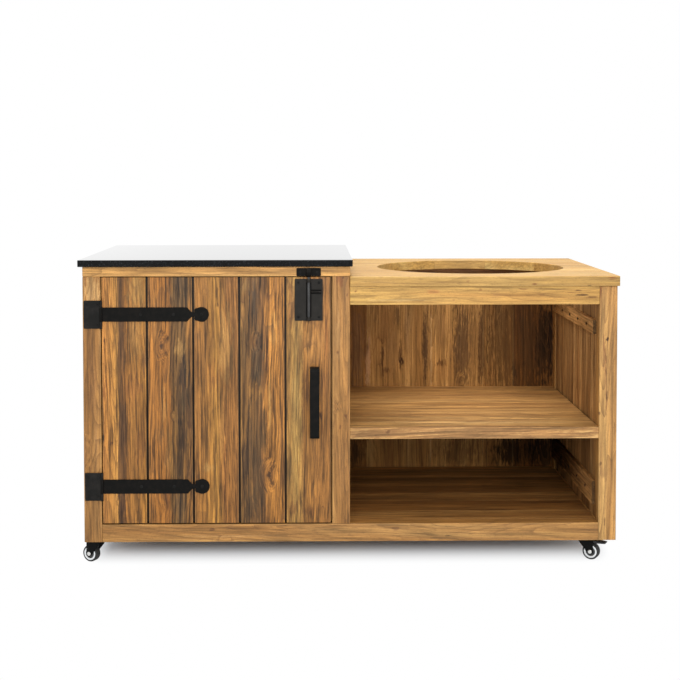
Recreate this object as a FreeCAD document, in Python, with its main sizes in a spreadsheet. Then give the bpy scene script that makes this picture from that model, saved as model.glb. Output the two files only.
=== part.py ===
import FreeCAD, Part
import os
import Sketcher

# Outdoor kitchen table for a kamado grill: a teak cabinet under a stone slab on the left,
# and an open bay under a wooden top with a round hole on the right, on four swivel casters.
# X runs to the right, Y to the back and Z up. The origin is on the ground under the middle.

os.makedirs("parts", exist_ok=True)
doc = FreeCAD.newDocument("kamado_table")
sheet = doc.addObject("Spreadsheet::Sheet", "Sizes")

# Driving dimensions in millimetres, and turns in degrees.
sizes = [
    ("left_bay_width", 683, "clear width between the left and middle posts"),
    ("right_bay_width", 740, "clear width between the middle and right posts"),
    ("post_size", 53, "side of each square post"),
    ("post_height", 791, "left post, from its foot to the sub-top"),
    ("edge_round", 2, "eased edges of the posts and rails"),
    ("bottom_rail_height", 53, "bottom rails"),
    ("top_rail_height", 55, "apron and top rails"),
    ("rail_thickness", 25, "apron and rear top rails, front to back"),
    ("caster_height", 70, "ground to the underside of the posts"),
    ("top_depth", 800, "stone slab and wooden top, front to back"),
    ("top_overhang", 10, "tops past the front and the back of the posts"),
    ("sub_top_thickness", 29, "boards under the stone"),
    ("granite_thickness", 20, "stone slab"),
    ("granite_overhang", 13, "stone past the left posts"),
    ("granite_lap", 8, "stone past the middle posts"),
    ("granite_round", 1.5, "eased edges of the stone"),
    ("grill_top_thickness", 30, "wooden top with the hole"),
    ("grill_top_overhang", 5, "wooden top past the right posts"),
    ("hole_radius", 300, "round hole for the kamado"),
    ("hole_chamfer", 2, "chamfer round the top of the hole"),
    ("plank_thickness", 15, "wall planks"),
    ("plank_inset", 4, "wall planks behind the inner face of the posts"),
    ("board_gap", 1, "shadow gap between two boards"),
    ("floor_thickness", 18, "floor boards"),
    ("grill_shelf_top", 340, "top of the grill shelf above the feet of the posts"),
    ("grill_shelf_thickness", 34, "grill shelf"),
    ("grill_shelf_setback", 2, "grill shelf behind the front of the posts"),
    ("cabinet_shelf_top", 440, "top of the cabinet shelf above the feet of the posts"),
    ("cabinet_shelf_thickness", 20, "cabinet shelf"),
    ("bearer_width", 20, "bearers under shelves and floor"),
    ("bearer_height", 34, "bearers under the shelves"),
    ("shelf_bearer_setback", 130, "grill shelf's bearers behind the front posts"),
    ("block_length", 70, "caster blocks, left to right"),
    ("block_width", 40, "caster blocks, front to back"),
    ("batten_thickness", 13, "battens on the right wall of the grill bay"),
    ("upper_batten_height", 42, "upper battens"),
    ("upper_batten_drop", 107, "upper battens below the wooden top"),
    ("lower_batten_height", 70, "lower battens"),
    ("lower_batten_level", 97, "underside of the lower battens above the feet"),
    ("batten_hole_radius", 5, "counterbores in the battens"),
    ("batten_hole_depth", 6, "counterbores in the battens"),
    ("batten_hole_margin", 91, "first counterbore from the front end of a batten"),
    ("batten_hole_pitch", 132, "from one counterbore of a batten to the next"),
    ("door_hinge_gap", 3, "door to the left post"),
    ("door_latch_gap", 5, "door to the middle post"),
    ("door_top_gap", 2, "door to the sub-top"),
    ("door_foot_gap", 3.5, "door to the bottom rail"),
    ("door_thickness", 22, "door planks"),
    ("door_plank_gap", 6, "open joint between two door planks"),
    ("door_lap", 8, "lap behind that joint"),
    ("door_plank_round", 1.5, "eased front edges of the door planks"),
    ("lap_clearance", 0.5, "end of a lap to the next plank"),
    ("ledge_thickness", 20, "ledges behind the door"),
    ("ledge_height", 80, "ledges behind the door"),
    ("ledge_margin", 20, "ledges from the hinge edge of the door"),
    ("stop_size", 20, "door stop"),
    ("stop_clearance", 0.5, "closed door to its stop"),
    ("handle_reach", 34, "door face to the front of the handle"),
    ("handle_length", 210, "flat pull handle"),
    ("handle_width", 28, "flat pull handle"),
    ("handle_bar", 5, "thickness of the handle's bar"),
    ("handle_inset", 52, "middle of the handle from the middle post"),
    ("handle_level", 418, "middle of the handle above the feet"),
    ("handle_round", 1, "eased edges of the handle"),
    ("upper_hinge_drop", 112, "upper hinge below the top of the posts"),
    ("lower_hinge_level", 167, "lower hinge above the feet"),
    ("hinge_plate_height", 82, "plate on the post"),
    ("hinge_plate_margin", 4, "plate from the outer face of the post"),
    ("hinge_sheet", 2.5, "thickness of the plate and the strap"),
    ("strap_width", 42, "strap on the door"),
    ("strap_head_radius", 22, "round head of the strap"),
    ("strap_head_inset", 22, "middle of the head from the near edge of the third plank"),
    ("strap_head_length", 39, "shoulders to the middle of the head"),
    ("strap_head_back", 21, "middle of the head to its flat back"),
    ("strap_back_height", 26, "flat back of the head"),
    ("strap_cheek_inset", 17, "middle of the head to the corners behind it"),
    ("strap_cheek_height", 36, "across those corners"),
    ("strap_neck_length", 3, "narrow part behind the head"),
    ("strap_neck_width", 12, "neck of the strap"),
    ("pin_radius", 2.5, "hinge pin"),
    ("pin_clearance", 0.05, "hinge pin in its knuckles"),
    ("knuckle_radius", 4, "hinge knuckles"),
    ("knuckle_clearance", 0.3, "knuckle to its neighbours"),
    ("pin_head", 1.5, "height of the pin's heads"),
    ("bolt_inset", 69, "bolt rod from the middle post"),
    ("bolt_plate_width", 83, "bolt plate"),
    ("bolt_plate_height", 124, "bolt plate"),
    ("bolt_plate_margin", 5.5, "bolt plate from the top of the door"),
    ("bolt_sheet", 2, "thickness of the bolt plate and the keeper"),
    ("bolt_radius", 4, "bolt rod"),
    ("bolt_clearance", 0.4, "bolt rod in its guides"),
    ("keeper_clearance", 1, "bolt rod in the keeper's loop"),
    ("bolt_parting", 2, "tip of the withdrawn rod to the keeper"),
    ("guide_wall", 2, "wall of the guides and the keeper's loop"),
    ("loop_round", 1.5, "outer corners of the keeper's loop"),
    ("guide_height", 10, "guides"),
    ("keeper_width", 72, "keeper plate"),
    ("keeper_height", 24, "keeper plate"),
    ("keeper_margin", 0.5, "keeper above the lower edge of the sub-top"),
    ("arm_length", 37, "bolt arm from the rod's axis"),
    ("arm_height", 5, "bolt arm"),
    ("arm_level", 45.5, "bolt arm below the top of the posts"),
    ("screw_radius", 2, "shank of the screws"),
    ("screw_head_radius", 4, "heads of the screws"),
    ("screw_head_height", 1.2, "heads of the screws"),
    ("screw_length", 18, "screws into the wood"),
    ("screw_clearance", 0.3, "screws in their plates"),
    ("screw_margin", 11, "screws from the corners of the hinge and bolt plates"),
    ("left_caster_inset", 32, "left casters' swivels from the outer face of the posts"),
    ("right_caster_inset", 81, "right casters' swivels from the outer face of the posts"),
    ("left_caster_setback", 42, "left casters' swivels from the front and back of the posts"),
    ("right_caster_setback", 60, "right casters' swivels from the front and back of the posts"),
    ("caster_plate_size", 62, "square top plate"),
    ("caster_sheet", 2.5, "thickness of the top plate"),
    ("caster_screw_pitch", 50, "screws of the top plate"),
    ("race_radius", 17, "raceway under the top plate"),
    ("race_height", 3.5, "raceway under the top plate"),
    ("kingpin_radius", 5, "rivet that the fork turns on"),
    ("kingpin_clearance", 0.05, "rivet in the fork"),
    ("kingpin_head_radius", 8, "head under the fork"),
    ("kingpin_head_height", 2, "head under the fork"),
    ("caster_trail", 21, "swivel to the axle"),
    ("fork_crown_radius", 20, "round crown of the fork"),
    ("fork_sheet", 2.5, "thickness of the fork"),
    ("fork_inner_width", 25, "between the legs of the fork"),
    ("fork_front", 15, "legs ahead of the swivel"),
    ("fork_boss_radius", 9, "round ends of the legs"),
    ("axle_radius", 3, "axle"),
    ("axle_clearance", 0.08, "hub on the axle"),
    ("axle_cap_radius", 6, "caps of the axle"),
    ("axle_cap_height", 2, "caps of the axle"),
    ("wheel_radius", 25, "tyre"),
    ("wheel_width", 22, "tyre"),
    ("tyre_crown", 3, "rounding of the tyre's shoulders"),
    ("hub_radius", 20, "hub inside the tyre"),
    ("hub_web_radius", 14.5, "dished web inside the hub's ring"),
    ("hub_web_depth", 3, "dish of the web"),
    ("hub_boss_radius", 8, "boss round the axle"),
    ("hub_boss_clearance", 0.5, "boss to the legs"),
    ("pedal_pivot_offset", 25, "pedal's pivot from the swivel"),
    ("pedal_pivot_drop", 13, "pedal's pivot under the posts"),
    ("pedal_pin_radius", 2, "pedal's pin"),
    ("pedal_pin_clearance", 0.08, "pedal's pin in the legs"),
    ("pedal_side_clearance", 0.5, "pedal to the legs"),
    ("pedal_reach", 67, "swivel to the pedal's tip"),
    ("pedal_top", 13, "top of the pedal's tip under the posts"),
    ("pedal_tip", 4, "thickness of the pedal's tip"),
    ("pedal_shoe_offset", 7.5, "brake shoe from the pedal's pivot"),
    ("pedal_shoe_drop", 6.1, "brake shoe under the pedal's pivot"),
    ("pedal_heel", 3, "pedal round its pivot"),
    ("front_left_turn", 154, "heading of this caster's trail"),
    ("front_right_turn", -29.5, "heading of this caster's trail"),
    ("rear_left_turn", 65, "heading of this caster's trail"),
    ("rear_right_turn", 200, "heading of this caster's trail"),
]
for row, (alias, value, note) in enumerate(sizes, start=1):
    sheet.set(f"A{row}", alias)
    sheet.set(f"B{row}", str(value))
    sheet.setAlias(f"B{row}", alias)
    sheet.set(f"C{row}", note)
doc.recompute()

# Board widths of each row, as shares of the row's length: reclaimed boards are all different.
side_shares = [65, 167, 130, 85, 185, 42]
right_back_shares = [81, 224, 188, 106, 141]
left_back_shares = [88, 79, 102, 67, 94, 84, 71, 98]
floor_shares = [98, 124, 106, 131, 95, 120]
shelf_shares = [98, 144, 124, 96, 101, 146, 54]
top_shares = [112, 121, 108, 117, 124, 106, 112]
batten_holes = 5


def number(expression):
    """The present value of an expression."""
    return float(sheet.evalExpression(expression))


# Levels and lines that several pieces share, as expressions on the sheet.
whole_width = ("(Sizes.granite_overhang + 3 * Sizes.post_size + Sizes.left_bay_width"
               " + Sizes.right_bay_width + Sizes.grill_top_overhang)")
left_x = f"(Sizes.granite_overhang - {whole_width} / 2)"
left_inner_x = f"({left_x} + Sizes.post_size)"
middle_x = f"({left_inner_x} + Sizes.left_bay_width)"
middle_right_x = f"({middle_x} + Sizes.post_size)"
right_x = f"({middle_right_x} + Sizes.right_bay_width)"
right_outer_x = f"({right_x} + Sizes.post_size)"
frame_depth = "(Sizes.top_depth - 2 * Sizes.top_overhang)"
front_y = "((Sizes.handle_reach + Sizes.top_overhang - Sizes.top_depth) / 2)"
inner_front_y = f"({front_y} + Sizes.post_size)"
back_y = f"({front_y} + {frame_depth})"
inner_back_y = f"({back_y} - Sizes.post_size)"
back_plank_y = f"({back_y} - Sizes.plank_thickness)"
side_length = f"({frame_depth} - 2 * Sizes.post_size)"
foot_z = "Sizes.caster_height"
floor_z = f"({foot_z} + Sizes.bottom_rail_height)"
top_z = f"({foot_z} + Sizes.post_height)"
grill_top_z = f"({top_z} - Sizes.grill_top_thickness)"
grill_shelf_z = f"({foot_z} + Sizes.grill_shelf_top - Sizes.grill_shelf_thickness)"
cabinet_shelf_z = f"({foot_z} + Sizes.cabinet_shelf_top - Sizes.cabinet_shelf_thickness)"
side_rail = "(Sizes.post_size - Sizes.plank_inset - Sizes.plank_thickness)"
left_wall_x = f"({left_inner_x} - Sizes.plank_inset)"
partition_x = f"({middle_right_x} - Sizes.plank_inset)"
right_wall_x = f"({right_x} + Sizes.plank_inset)"
door_x = f"({left_inner_x} + Sizes.door_hinge_gap)"
door_z = f"({floor_z} + Sizes.door_foot_gap)"
door_width = "(Sizes.left_bay_width - Sizes.door_hinge_gap - Sizes.door_latch_gap)"
door_height = ("(Sizes.post_height - Sizes.bottom_rail_height"
               " - Sizes.door_top_gap - Sizes.door_foot_gap)")

pieces = []


def keep(piece, name):
    """Files a finished piece under its own name."""
    piece.Label = name
    pieces.append(piece)
    return piece


def bindAll(thing, bindings):
    """Ties properties of one object to expressions."""
    for path, expression in bindings.items():
        thing.setExpression(path, str(expression))


def bindPlace(thing, place):
    """Ties an object's position to three expressions."""
    bindAll(thing, {f"Placement.Base.{axis}": value for axis, value in zip("xyz", place)})


def newBody(name, place=("0", "0", "0"), turn=None):
    """A body that stands at a place, turned about its own Z axis."""
    body = doc.addObject("PartDesign::Body", name)
    body.Placement = FreeCAD.Placement(FreeCAD.Vector(), FreeCAD.Rotation(FreeCAD.Vector(0, 0, 1), 1))
    bindPlace(body, place)
    body.setExpression("Placement.Rotation.Angle", turn or "0")
    return body


def originPlane(body, role):
    return next(plane for plane in body.Origin.OriginFeatures if plane.Role == role)


def outline(body, role, corners):
    """A closed outline of straight lines on one of the body's own planes."""
    sketch = body.newObject("Sketcher::SketchObject", body.Name + "_outline")
    sketch.AttachmentSupport = [(originPlane(body, role), "")]
    sketch.MapMode = "FlatFace"
    points = [FreeCAD.Vector(number(u), number(v), 0) for u, v in corners]
    count = len(points)
    for index in range(count):
        sketch.addGeometry(Part.LineSegment(points[index], points[(index + 1) % count]), False)
    for index in range(count):
        sketch.addConstraint(Sketcher.Constraint("Coincident", index, 2, (index + 1) % count, 1))
    for index, (u, v) in enumerate(corners):
        for kind, expression, axis in (("DistanceX", u, -2), ("DistanceY", v, -1)):
            if expression == "0":
                sketch.addConstraint(Sketcher.Constraint("PointOnObject", index, 1, axis))
                continue
            place = sketch.addConstraint(
                Sketcher.Constraint(kind, -1, 1, index, 1, number(expression)))
            sketch.setExpression(f"Constraints[{place}]", expression)
    return sketch


def pad(body, sketch, length, reverse=False, both_sides=False):
    """Extrudes an outline."""
    feature = body.newObject("PartDesign::Pad", body.Name + "_pad")
    feature.Profile = sketch
    feature.Reversed = reverse
    feature.Midplane = both_sides
    feature.setExpression("Length", length)
    return feature


def revolve(body, sketch):
    """Turns an outline once about the sketch's horizontal axis."""
    feature = body.newObject("PartDesign::Revolution", body.Name + "_turned")
    feature.Profile = sketch
    feature.ReferenceAxis = (sketch, ["H_Axis"])
    feature.Angle = 360
    return feature


turns = {"x": FreeCAD.Rotation(FreeCAD.Vector(0, 1, 0), 90),
         "y": FreeCAD.Rotation(FreeCAD.Vector(1, 0, 0), -90),
         "z": FreeCAD.Rotation()}


def block(body, size, place, cut=False):
    """Adds or cuts a box."""
    kind = "PartDesign::SubtractiveBox" if cut else "PartDesign::AdditiveBox"
    feature = body.newObject(kind, body.Name + "_block")
    bindAll(feature, dict(zip(("Length", "Width", "Height"), size)))
    bindPlace(feature, place)
    return feature


def rod(body, radius, length, place, axis="z", cut=False):
    """Adds or cuts a cylinder that starts at a place and runs along an axis."""
    kind = "PartDesign::SubtractiveCylinder" if cut else "PartDesign::AdditiveCylinder"
    feature = body.newObject(kind, body.Name + "_rod")
    feature.Placement = FreeCAD.Placement(FreeCAD.Vector(), turns[axis])
    bindAll(feature, {"Radius": radius, "Height": length})
    bindPlace(feature, place)
    return feature


def ease(body, feature, radius, wanted):
    """Rounds the straight edges that a test picks."""
    doc.recompute()
    names = []
    for index, edge in enumerate(feature.Shape.Edges, start=1):
        if edge.Curve.TypeId != "Part::GeomLine":
            continue
        start, end = edge.Vertexes[0].Point, edge.Vertexes[-1].Point
        if wanted(start, end):
            names.append(f"Edge{index}")
    rounding = body.newObject("PartDesign::Fillet", body.Name + "_eased")
    rounding.Base = (feature, names)
    rounding.setExpression("Radius", radius)
    return rounding


def along(axis):
    """A test for edges that run along one axis."""
    index = "xyz".index(axis)
    return lambda start, end: all(abs(end[i] - start[i]) < 1e-6 for i in range(3) if i != index)


def beam(name, size, place, axis):
    """A length of timber whose long edges are eased."""
    body = newBody(name, place)
    ease(body, block(body, size, ("0", "0", "0")), "Sizes.edge_round", along(axis))
    return body


def plainBox(name, size, place):
    box = doc.addObject("Part::Box", name)
    bindAll(box, dict(zip(("Length", "Width", "Height"), size)))
    bindPlace(box, place)
    return box


def plainRod(name, radius, length, place, axis="z"):
    cylinder = doc.addObject("Part::Cylinder", name)
    cylinder.Placement = FreeCAD.Placement(FreeCAD.Vector(), turns[axis])
    bindAll(cylinder, {"Radius": radius, "Height": length})
    bindPlace(cylinder, place)
    return cylinder


def group(name, members):
    """Several separate solids under one name."""
    compound = doc.addObject("Part::Compound", name)
    compound.Links = members
    return keep(compound, name)


def boardRow(name, shares, axis, size, place):
    """Boards side by side along an axis, with a gap between each two."""
    index = "xyz".index(axis)
    total = sum(shares)
    boards = []
    done = 0
    for board, share in enumerate(shares):
        ends = (board == 0) + (board == len(shares) - 1)
        width = f"({size[index]}) * {share} / {total} - Sizes.board_gap * {(2 - ends) / 2}"
        start = f"{place[index]} + ({size[index]}) * {done} / {total}"
        if board:
            start += " + Sizes.board_gap / 2"
        board_size = [width if i == index else size[i] for i in range(3)]
        board_place = [start if i == index else place[i] for i in range(3)]
        boards.append(plainBox(f"{name}_{board + 1}", board_size, board_place))
        done += share
    return boards


# Posts. The front and rear bottom rails pass under the middle posts.
post = "Sizes.post_size"
post_columns = {
    "left": (left_x, foot_z, "Sizes.post_height"),
    "middle": (middle_x, floor_z, "Sizes.post_height - Sizes.bottom_rail_height"),
    "right": (right_x, foot_z, "Sizes.post_height - Sizes.grill_top_thickness"),
}
for row_name, y in (("front", front_y), ("rear", inner_back_y)):
    for side, (x, z, height) in post_columns.items():
        name = f"post_{row_name}_{side}"
        keep(beam(name, (post, post, height), (x, y, z), "z"), name)

# Bottom rails.
long_rail = "Sizes.left_bay_width + Sizes.post_size + Sizes.right_bay_width"
for name, y in (("bottom_rail_front", front_y), ("bottom_rail_rear", inner_back_y)):
    rail_size = (long_rail, post, "Sizes.bottom_rail_height")
    keep(beam(name, rail_size, (left_inner_x, y, foot_z), "x"), name)
group("bottom_side_rails", [
    beam(f"bottom_side_rail_{side}", (post, side_length, "Sizes.bottom_rail_height"),
         (x, inner_front_y, foot_z), "y")
    for side, x in (("left", left_x), ("middle", middle_x), ("right", right_x))])

# Apron and top rails. The side rails stand outside the wall planks.
rail_drop = "Sizes.top_rail_height"
keep(beam("apron_front", ("Sizes.right_bay_width", "Sizes.rail_thickness", rail_drop),
          (middle_right_x, front_y, f"{grill_top_z} - {rail_drop}"), "x"), "apron_front")
rear_rail_y = f"{back_plank_y} - Sizes.rail_thickness"
group("top_rails", [
    beam("rear_rail_left", ("Sizes.left_bay_width", "Sizes.rail_thickness", rail_drop),
         (left_inner_x, rear_rail_y, f"{top_z} - {rail_drop}"), "x"),
    beam("rear_rail_right", ("Sizes.right_bay_width", "Sizes.rail_thickness", rail_drop),
         (middle_right_x, rear_rail_y, f"{grill_top_z} - {rail_drop}"), "x"),
    beam("side_rail_left", (side_rail, side_length, rail_drop),
         (left_x, inner_front_y, f"{top_z} - {rail_drop}"), "y"),
    beam("side_rail_middle", (side_rail, side_length, rail_drop),
         (middle_x, inner_front_y, f"{top_z} - {rail_drop}"), "y"),
    beam("side_rail_right", (side_rail, side_length, rail_drop),
         (f"{right_wall_x} + Sizes.plank_thickness", inner_front_y,
          f"{grill_top_z} - {rail_drop}"), "y")])

# Wall planks stand on the bottom rails.
plank = "Sizes.plank_thickness"
left_wall_height = "Sizes.post_height - Sizes.bottom_rail_height"
right_wall_height = f"{left_wall_height} - Sizes.grill_top_thickness"
group("side_planks",
      boardRow("left_plank", side_shares, "y", (plank, side_length, left_wall_height),
               (f"{left_wall_x} - {plank}", inner_front_y, floor_z))
      + boardRow("right_plank", side_shares, "y", (plank, side_length, right_wall_height),
                 (right_wall_x, inner_front_y, floor_z)))
group("partition_planks",
      boardRow("partition_plank", side_shares, "y", (plank, side_length, left_wall_height),
               (f"{partition_x} - {plank}", inner_front_y, floor_z)))
group("back_planks",
      boardRow("left_back_plank", left_back_shares, "x",
               ("Sizes.left_bay_width", plank, left_wall_height),
               (left_inner_x, back_plank_y, floor_z))
      + boardRow("right_back_plank", right_back_shares, "x",
                 ("Sizes.right_bay_width", plank, right_wall_height),
                 (middle_right_x, back_plank_y, floor_z)))

# Floor boards lie level with the bottom rails.
group("floor_boards", [
    board for side, x, width in (("left", left_inner_x, "Sizes.left_bay_width"),
                                 ("right", middle_right_x, "Sizes.right_bay_width"))
    for board in boardRow(f"{side}_floor_board", floor_shares, "y",
                          (width, side_length, "Sizes.floor_thickness"),
                          (x, inner_front_y, f"{floor_z} - Sizes.floor_thickness"))])

# Shelves reach back to the wall planks.
grill_shelf_depth = f"{back_plank_y} - {front_y} - Sizes.grill_shelf_setback"
group("grill_shelf",
      boardRow("grill_shelf_board", shelf_shares, "y",
               ("Sizes.right_bay_width", grill_shelf_depth, "Sizes.grill_shelf_thickness"),
               (middle_right_x, f"{front_y} + Sizes.grill_shelf_setback", grill_shelf_z)))
group("cabinet_shelf",
      boardRow("cabinet_shelf_board", shelf_shares, "y",
               ("Sizes.left_bay_width", f"{back_plank_y} - {inner_front_y}",
                "Sizes.cabinet_shelf_thickness"),
               (left_inner_x, inner_front_y, cabinet_shelf_z)))

# Bearers carry the shelves, the floor boards and the left end of the wooden top.
bearer = "Sizes.bearer_width"
floor_bearer_height = "Sizes.bottom_rail_height - Sizes.floor_thickness"
floor_bearer_length = f"{side_length} - 2 * Sizes.block_width"
bearers = []
for name, x in (("a", left_inner_x), ("b", f"{middle_x} - {bearer}"),
                ("c", middle_right_x), ("d", f"{right_x} - {bearer}")):
    bearers.append(plainBox(f"floor_bearer_{name}", (bearer, floor_bearer_length, floor_bearer_height),
                            (x, f"{inner_front_y} + Sizes.block_width", foot_z)))
for row_name, y in (("front", inner_front_y), ("rear", f"{inner_back_y} - Sizes.block_width")):
    for side, x in (("left", left_inner_x), ("middle_left", f"{middle_x} - Sizes.block_length"),
                    ("middle_right", middle_right_x), ("right", f"{right_x} - Sizes.block_length")):
        bearers.append(plainBox(f"caster_block_{row_name}_{side}",
                                ("Sizes.block_length", "Sizes.block_width", floor_bearer_height),
                                (x, y, foot_z)))
for name, x in (("left", partition_x), ("right", f"{right_wall_x} - {bearer}")):
    bearers.append(plainBox(f"grill_shelf_bearer_{name}",
                            (bearer, f"{side_length} - Sizes.shelf_bearer_setback",
                             "Sizes.bearer_height"),
                            (x, f"{inner_front_y} + Sizes.shelf_bearer_setback",
                             f"{grill_shelf_z} - Sizes.bearer_height")))
shelf_bearer_size = (bearer, side_length, "Sizes.bearer_height")
bearers.append(plainBox("grill_top_bearer", shelf_bearer_size,
                        (partition_x, inner_front_y, f"{grill_top_z} - Sizes.bearer_height")))
cabinet_bearer_z = f"{cabinet_shelf_z} - Sizes.bearer_height"
bearers.append(plainBox("cabinet_shelf_bearer_left", shelf_bearer_size,
                        (left_wall_x, inner_front_y, cabinet_bearer_z)))
bearers.append(plainBox("cabinet_shelf_bearer_right",
                        (f"{bearer} + {side_rail}", side_length, "Sizes.bearer_height"),
                        (f"{middle_x} - {bearer}", inner_front_y, cabinet_bearer_z)))
group("bearers", bearers)

# Battens tie the planks of the right wall. Each has counterbored screw holes.
batten_levels = {"upper": f"({grill_top_z} - Sizes.upper_batten_drop - Sizes.upper_batten_height)",
                 "lower": f"({foot_z} + Sizes.lower_batten_level)"}
batten_x = f"({right_wall_x} - Sizes.batten_thickness)"
batten_screw_length = ("Sizes.batten_thickness - Sizes.batten_hole_depth"
                       " + Sizes.plank_thickness / 2")
battens = []
batten_screws = []
for level, z in batten_levels.items():
    height = f"Sizes.{level}_batten_height"
    middle_z = f"{z} + {height} / 2"
    body = newBody(f"batten_{level}")
    block(body, ("Sizes.batten_thickness", side_length, height), (batten_x, inner_front_y, z))
    for hole in range(batten_holes):
        y = f"{inner_front_y} + Sizes.batten_hole_margin + {hole} * Sizes.batten_hole_pitch"
        rod(body, "Sizes.batten_hole_radius", "Sizes.batten_hole_depth",
            (batten_x, y, middle_z), "x", cut=True)
        batten_screws.append(plainRod(f"batten_screw_{level}_{hole}", "Sizes.screw_radius",
                                      batten_screw_length,
                                      (f"{batten_x} + Sizes.batten_hole_depth", y, middle_z), "x"))
    battens.append(body)
group("wall_battens", battens)

# The door closes against a stop on the middle post.
door_stop = beam("door_stop", ("Sizes.stop_size", "Sizes.stop_size", door_height),
                 (f"{middle_x} - Sizes.stop_size",
                  f"{front_y} + Sizes.door_thickness + Sizes.stop_clearance", door_z), "z")
keep(door_stop, "door_stop")

# Tops.
tops_y = f"({front_y} - Sizes.top_overhang)"
sub_top_width = f"{middle_right_x} - {left_x}"
group("sub_top", boardRow("sub_top_board", top_shares, "y",
                          (sub_top_width, frame_depth, "Sizes.sub_top_thickness"),
                          (left_x, front_y, top_z)))

granite = newBody("granite_slab", (f"{left_x} - Sizes.granite_overhang", tops_y,
                                   f"{top_z} + Sizes.sub_top_thickness"))
granite_block = block(granite, (f"{sub_top_width} + Sizes.granite_overhang + Sizes.granite_lap",
                                "Sizes.top_depth", "Sizes.granite_thickness"), ("0", "0", "0"))
ease(granite, granite_block, "Sizes.granite_round", lambda start, end: True)
keep(granite, "granite_top")

hole_x = f"({middle_right_x} + {right_outer_x} + Sizes.grill_top_overhang) / 2"
hole_y = f"{tops_y} + Sizes.top_depth / 2"
top_boards = doc.addObject("Part::Compound", "grill_top_boards")
top_boards.Links = boardRow(
    "grill_top_board", top_shares, "y",
    (f"{right_outer_x} + Sizes.grill_top_overhang - {middle_right_x}", "Sizes.top_depth",
     "Sizes.grill_top_thickness"), (middle_right_x, tops_y, grill_top_z))
hole = plainRod("kamado_hole", "Sizes.hole_radius", "Sizes.grill_top_thickness",
                (hole_x, hole_y, grill_top_z))
hole_rim = doc.addObject("Part::Cone", "kamado_hole_rim")
bindAll(hole_rim, {"Radius1": "Sizes.hole_radius",
                   "Radius2": "Sizes.hole_radius + Sizes.hole_chamfer",
                   "Height": "Sizes.hole_chamfer"})
bindPlace(hole_rim, (hole_x, hole_y, f"{top_z} - Sizes.hole_chamfer"))
hole_tool = doc.addObject("Part::MultiFuse", "kamado_hole_tool")
hole_tool.Shapes = [hole, hole_rim]
kamado_top = doc.addObject("Part::Cut", "kamado_top")
kamado_top.Base = top_boards
kamado_top.Tool = hole_tool
keep(kamado_top, "kamado_top")


# Door planks: each has a lap behind the open joint to the next one.
door_planks = 5
lap_y = "Sizes.door_thickness / 2"
plank_width = (f"(({door_width} - {door_planks - 1} * Sizes.door_plank_gap) / {door_planks})")
lap_end = f"{plank_width} + Sizes.door_plank_gap + Sizes.door_lap"
rebate = "Sizes.door_lap + Sizes.lap_clearance"
for index in range(door_planks):
    name = f"door_plank_{index + 1}"
    x = f"{door_x} + {index} * ({plank_width} + Sizes.door_plank_gap)"
    body = newBody(name, (x, front_y, door_z))
    if index < door_planks - 1:
        corners = [("0", "0"), (plank_width, "0"), (plank_width, lap_y), (lap_end, lap_y),
                   (lap_end, "Sizes.door_thickness")]
    else:
        corners = [("0", "0"), (plank_width, "0"), (plank_width, "Sizes.door_thickness")]
    if index > 0:
        corners += [(rebate, "Sizes.door_thickness"), (rebate, lap_y), ("0", lap_y)]
    else:
        corners += [("0", "Sizes.door_thickness")]
    plank_pad = pad(body, outline(body, "XY_Plane", corners), door_height)
    ease(body, plank_pad, "Sizes.door_plank_round",
         lambda start, end: along("z")(start, end) and abs(start.y) < 1e-6)
    keep(body, name)

# Ledges hold the planks together behind the hinges and end short of the door stop.
hinge_levels = {"upper": f"({top_z} - Sizes.upper_hinge_drop)",
                "lower": f"({foot_z} + Sizes.lower_hinge_level)"}
ledge_length = (f"{middle_x} - Sizes.stop_size - Sizes.door_latch_gap"
                f" - {door_x} - Sizes.ledge_margin")
group("door_ledges", [
    beam(f"door_ledge_{level}", (ledge_length, "Sizes.ledge_thickness", "Sizes.ledge_height"),
         (f"{door_x} + Sizes.ledge_margin", f"{front_y} + Sizes.door_thickness",
          f"{z} - Sizes.ledge_height / 2"), "x")
    for level, z in hinge_levels.items()])


def screw(name, x, z, sheet_thickness):
    """A screw through a plate on the front of the table, with a low round head."""
    body = newBody(name, (x, front_y, z))
    rod(body, "Sizes.screw_head_radius", "Sizes.screw_head_height",
        ("0", f"-{sheet_thickness} - Sizes.screw_head_height", "0"), "y")
    rod(body, "Sizes.screw_radius", f"{sheet_thickness} + Sizes.screw_length",
        ("0", f"-{sheet_thickness}", "0"), "y")
    return body


def screwHole(body, x, z, sheet_thickness):
    """Cuts the hole that a screw passes in a plate."""
    rod(body, "Sizes.screw_radius + Sizes.screw_clearance", sheet_thickness,
        (x, f"-{sheet_thickness}", z), "y", cut=True)


# Strap hinges. The pins stand just in front of the gap between the post and the door.
hinge_x = f"({left_inner_x} + Sizes.door_hinge_gap / 2)"
pin_y = "(-Sizes.knuckle_radius - Sizes.knuckle_clearance)"
sheet_y = "-Sizes.hinge_sheet"
plate_reach = f"({hinge_x} - {left_x} - Sizes.hinge_plate_margin)"
relief = "(Sizes.knuckle_radius + 2 * Sizes.knuckle_clearance)"
plate_half = "Sizes.hinge_plate_height / 2"
strap_half = "Sizes.strap_width / 2"
knuckle_gap = "Sizes.knuckle_clearance"
plate_knuckle = f"(({plate_half}) - ({strap_half}) - {knuckle_gap})"
bore = "Sizes.pin_radius + Sizes.pin_clearance"
head_x = (f"(Sizes.door_hinge_gap / 2 + 2 * ({plank_width} + Sizes.door_plank_gap)"
          " + Sizes.strap_head_inset)")
shoulder_x = f"({head_x} - Sizes.strap_head_length)"
back_x = f"({head_x} - Sizes.strap_head_back)"
cheek_x = f"{head_x} - Sizes.strap_cheek_inset"
neck_x = f"{back_x} - Sizes.strap_neck_length"
neck_half = "Sizes.strap_neck_width / 2"
back_half = "Sizes.strap_back_height / 2"
cheek_half = "Sizes.strap_cheek_height / 2"
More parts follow.
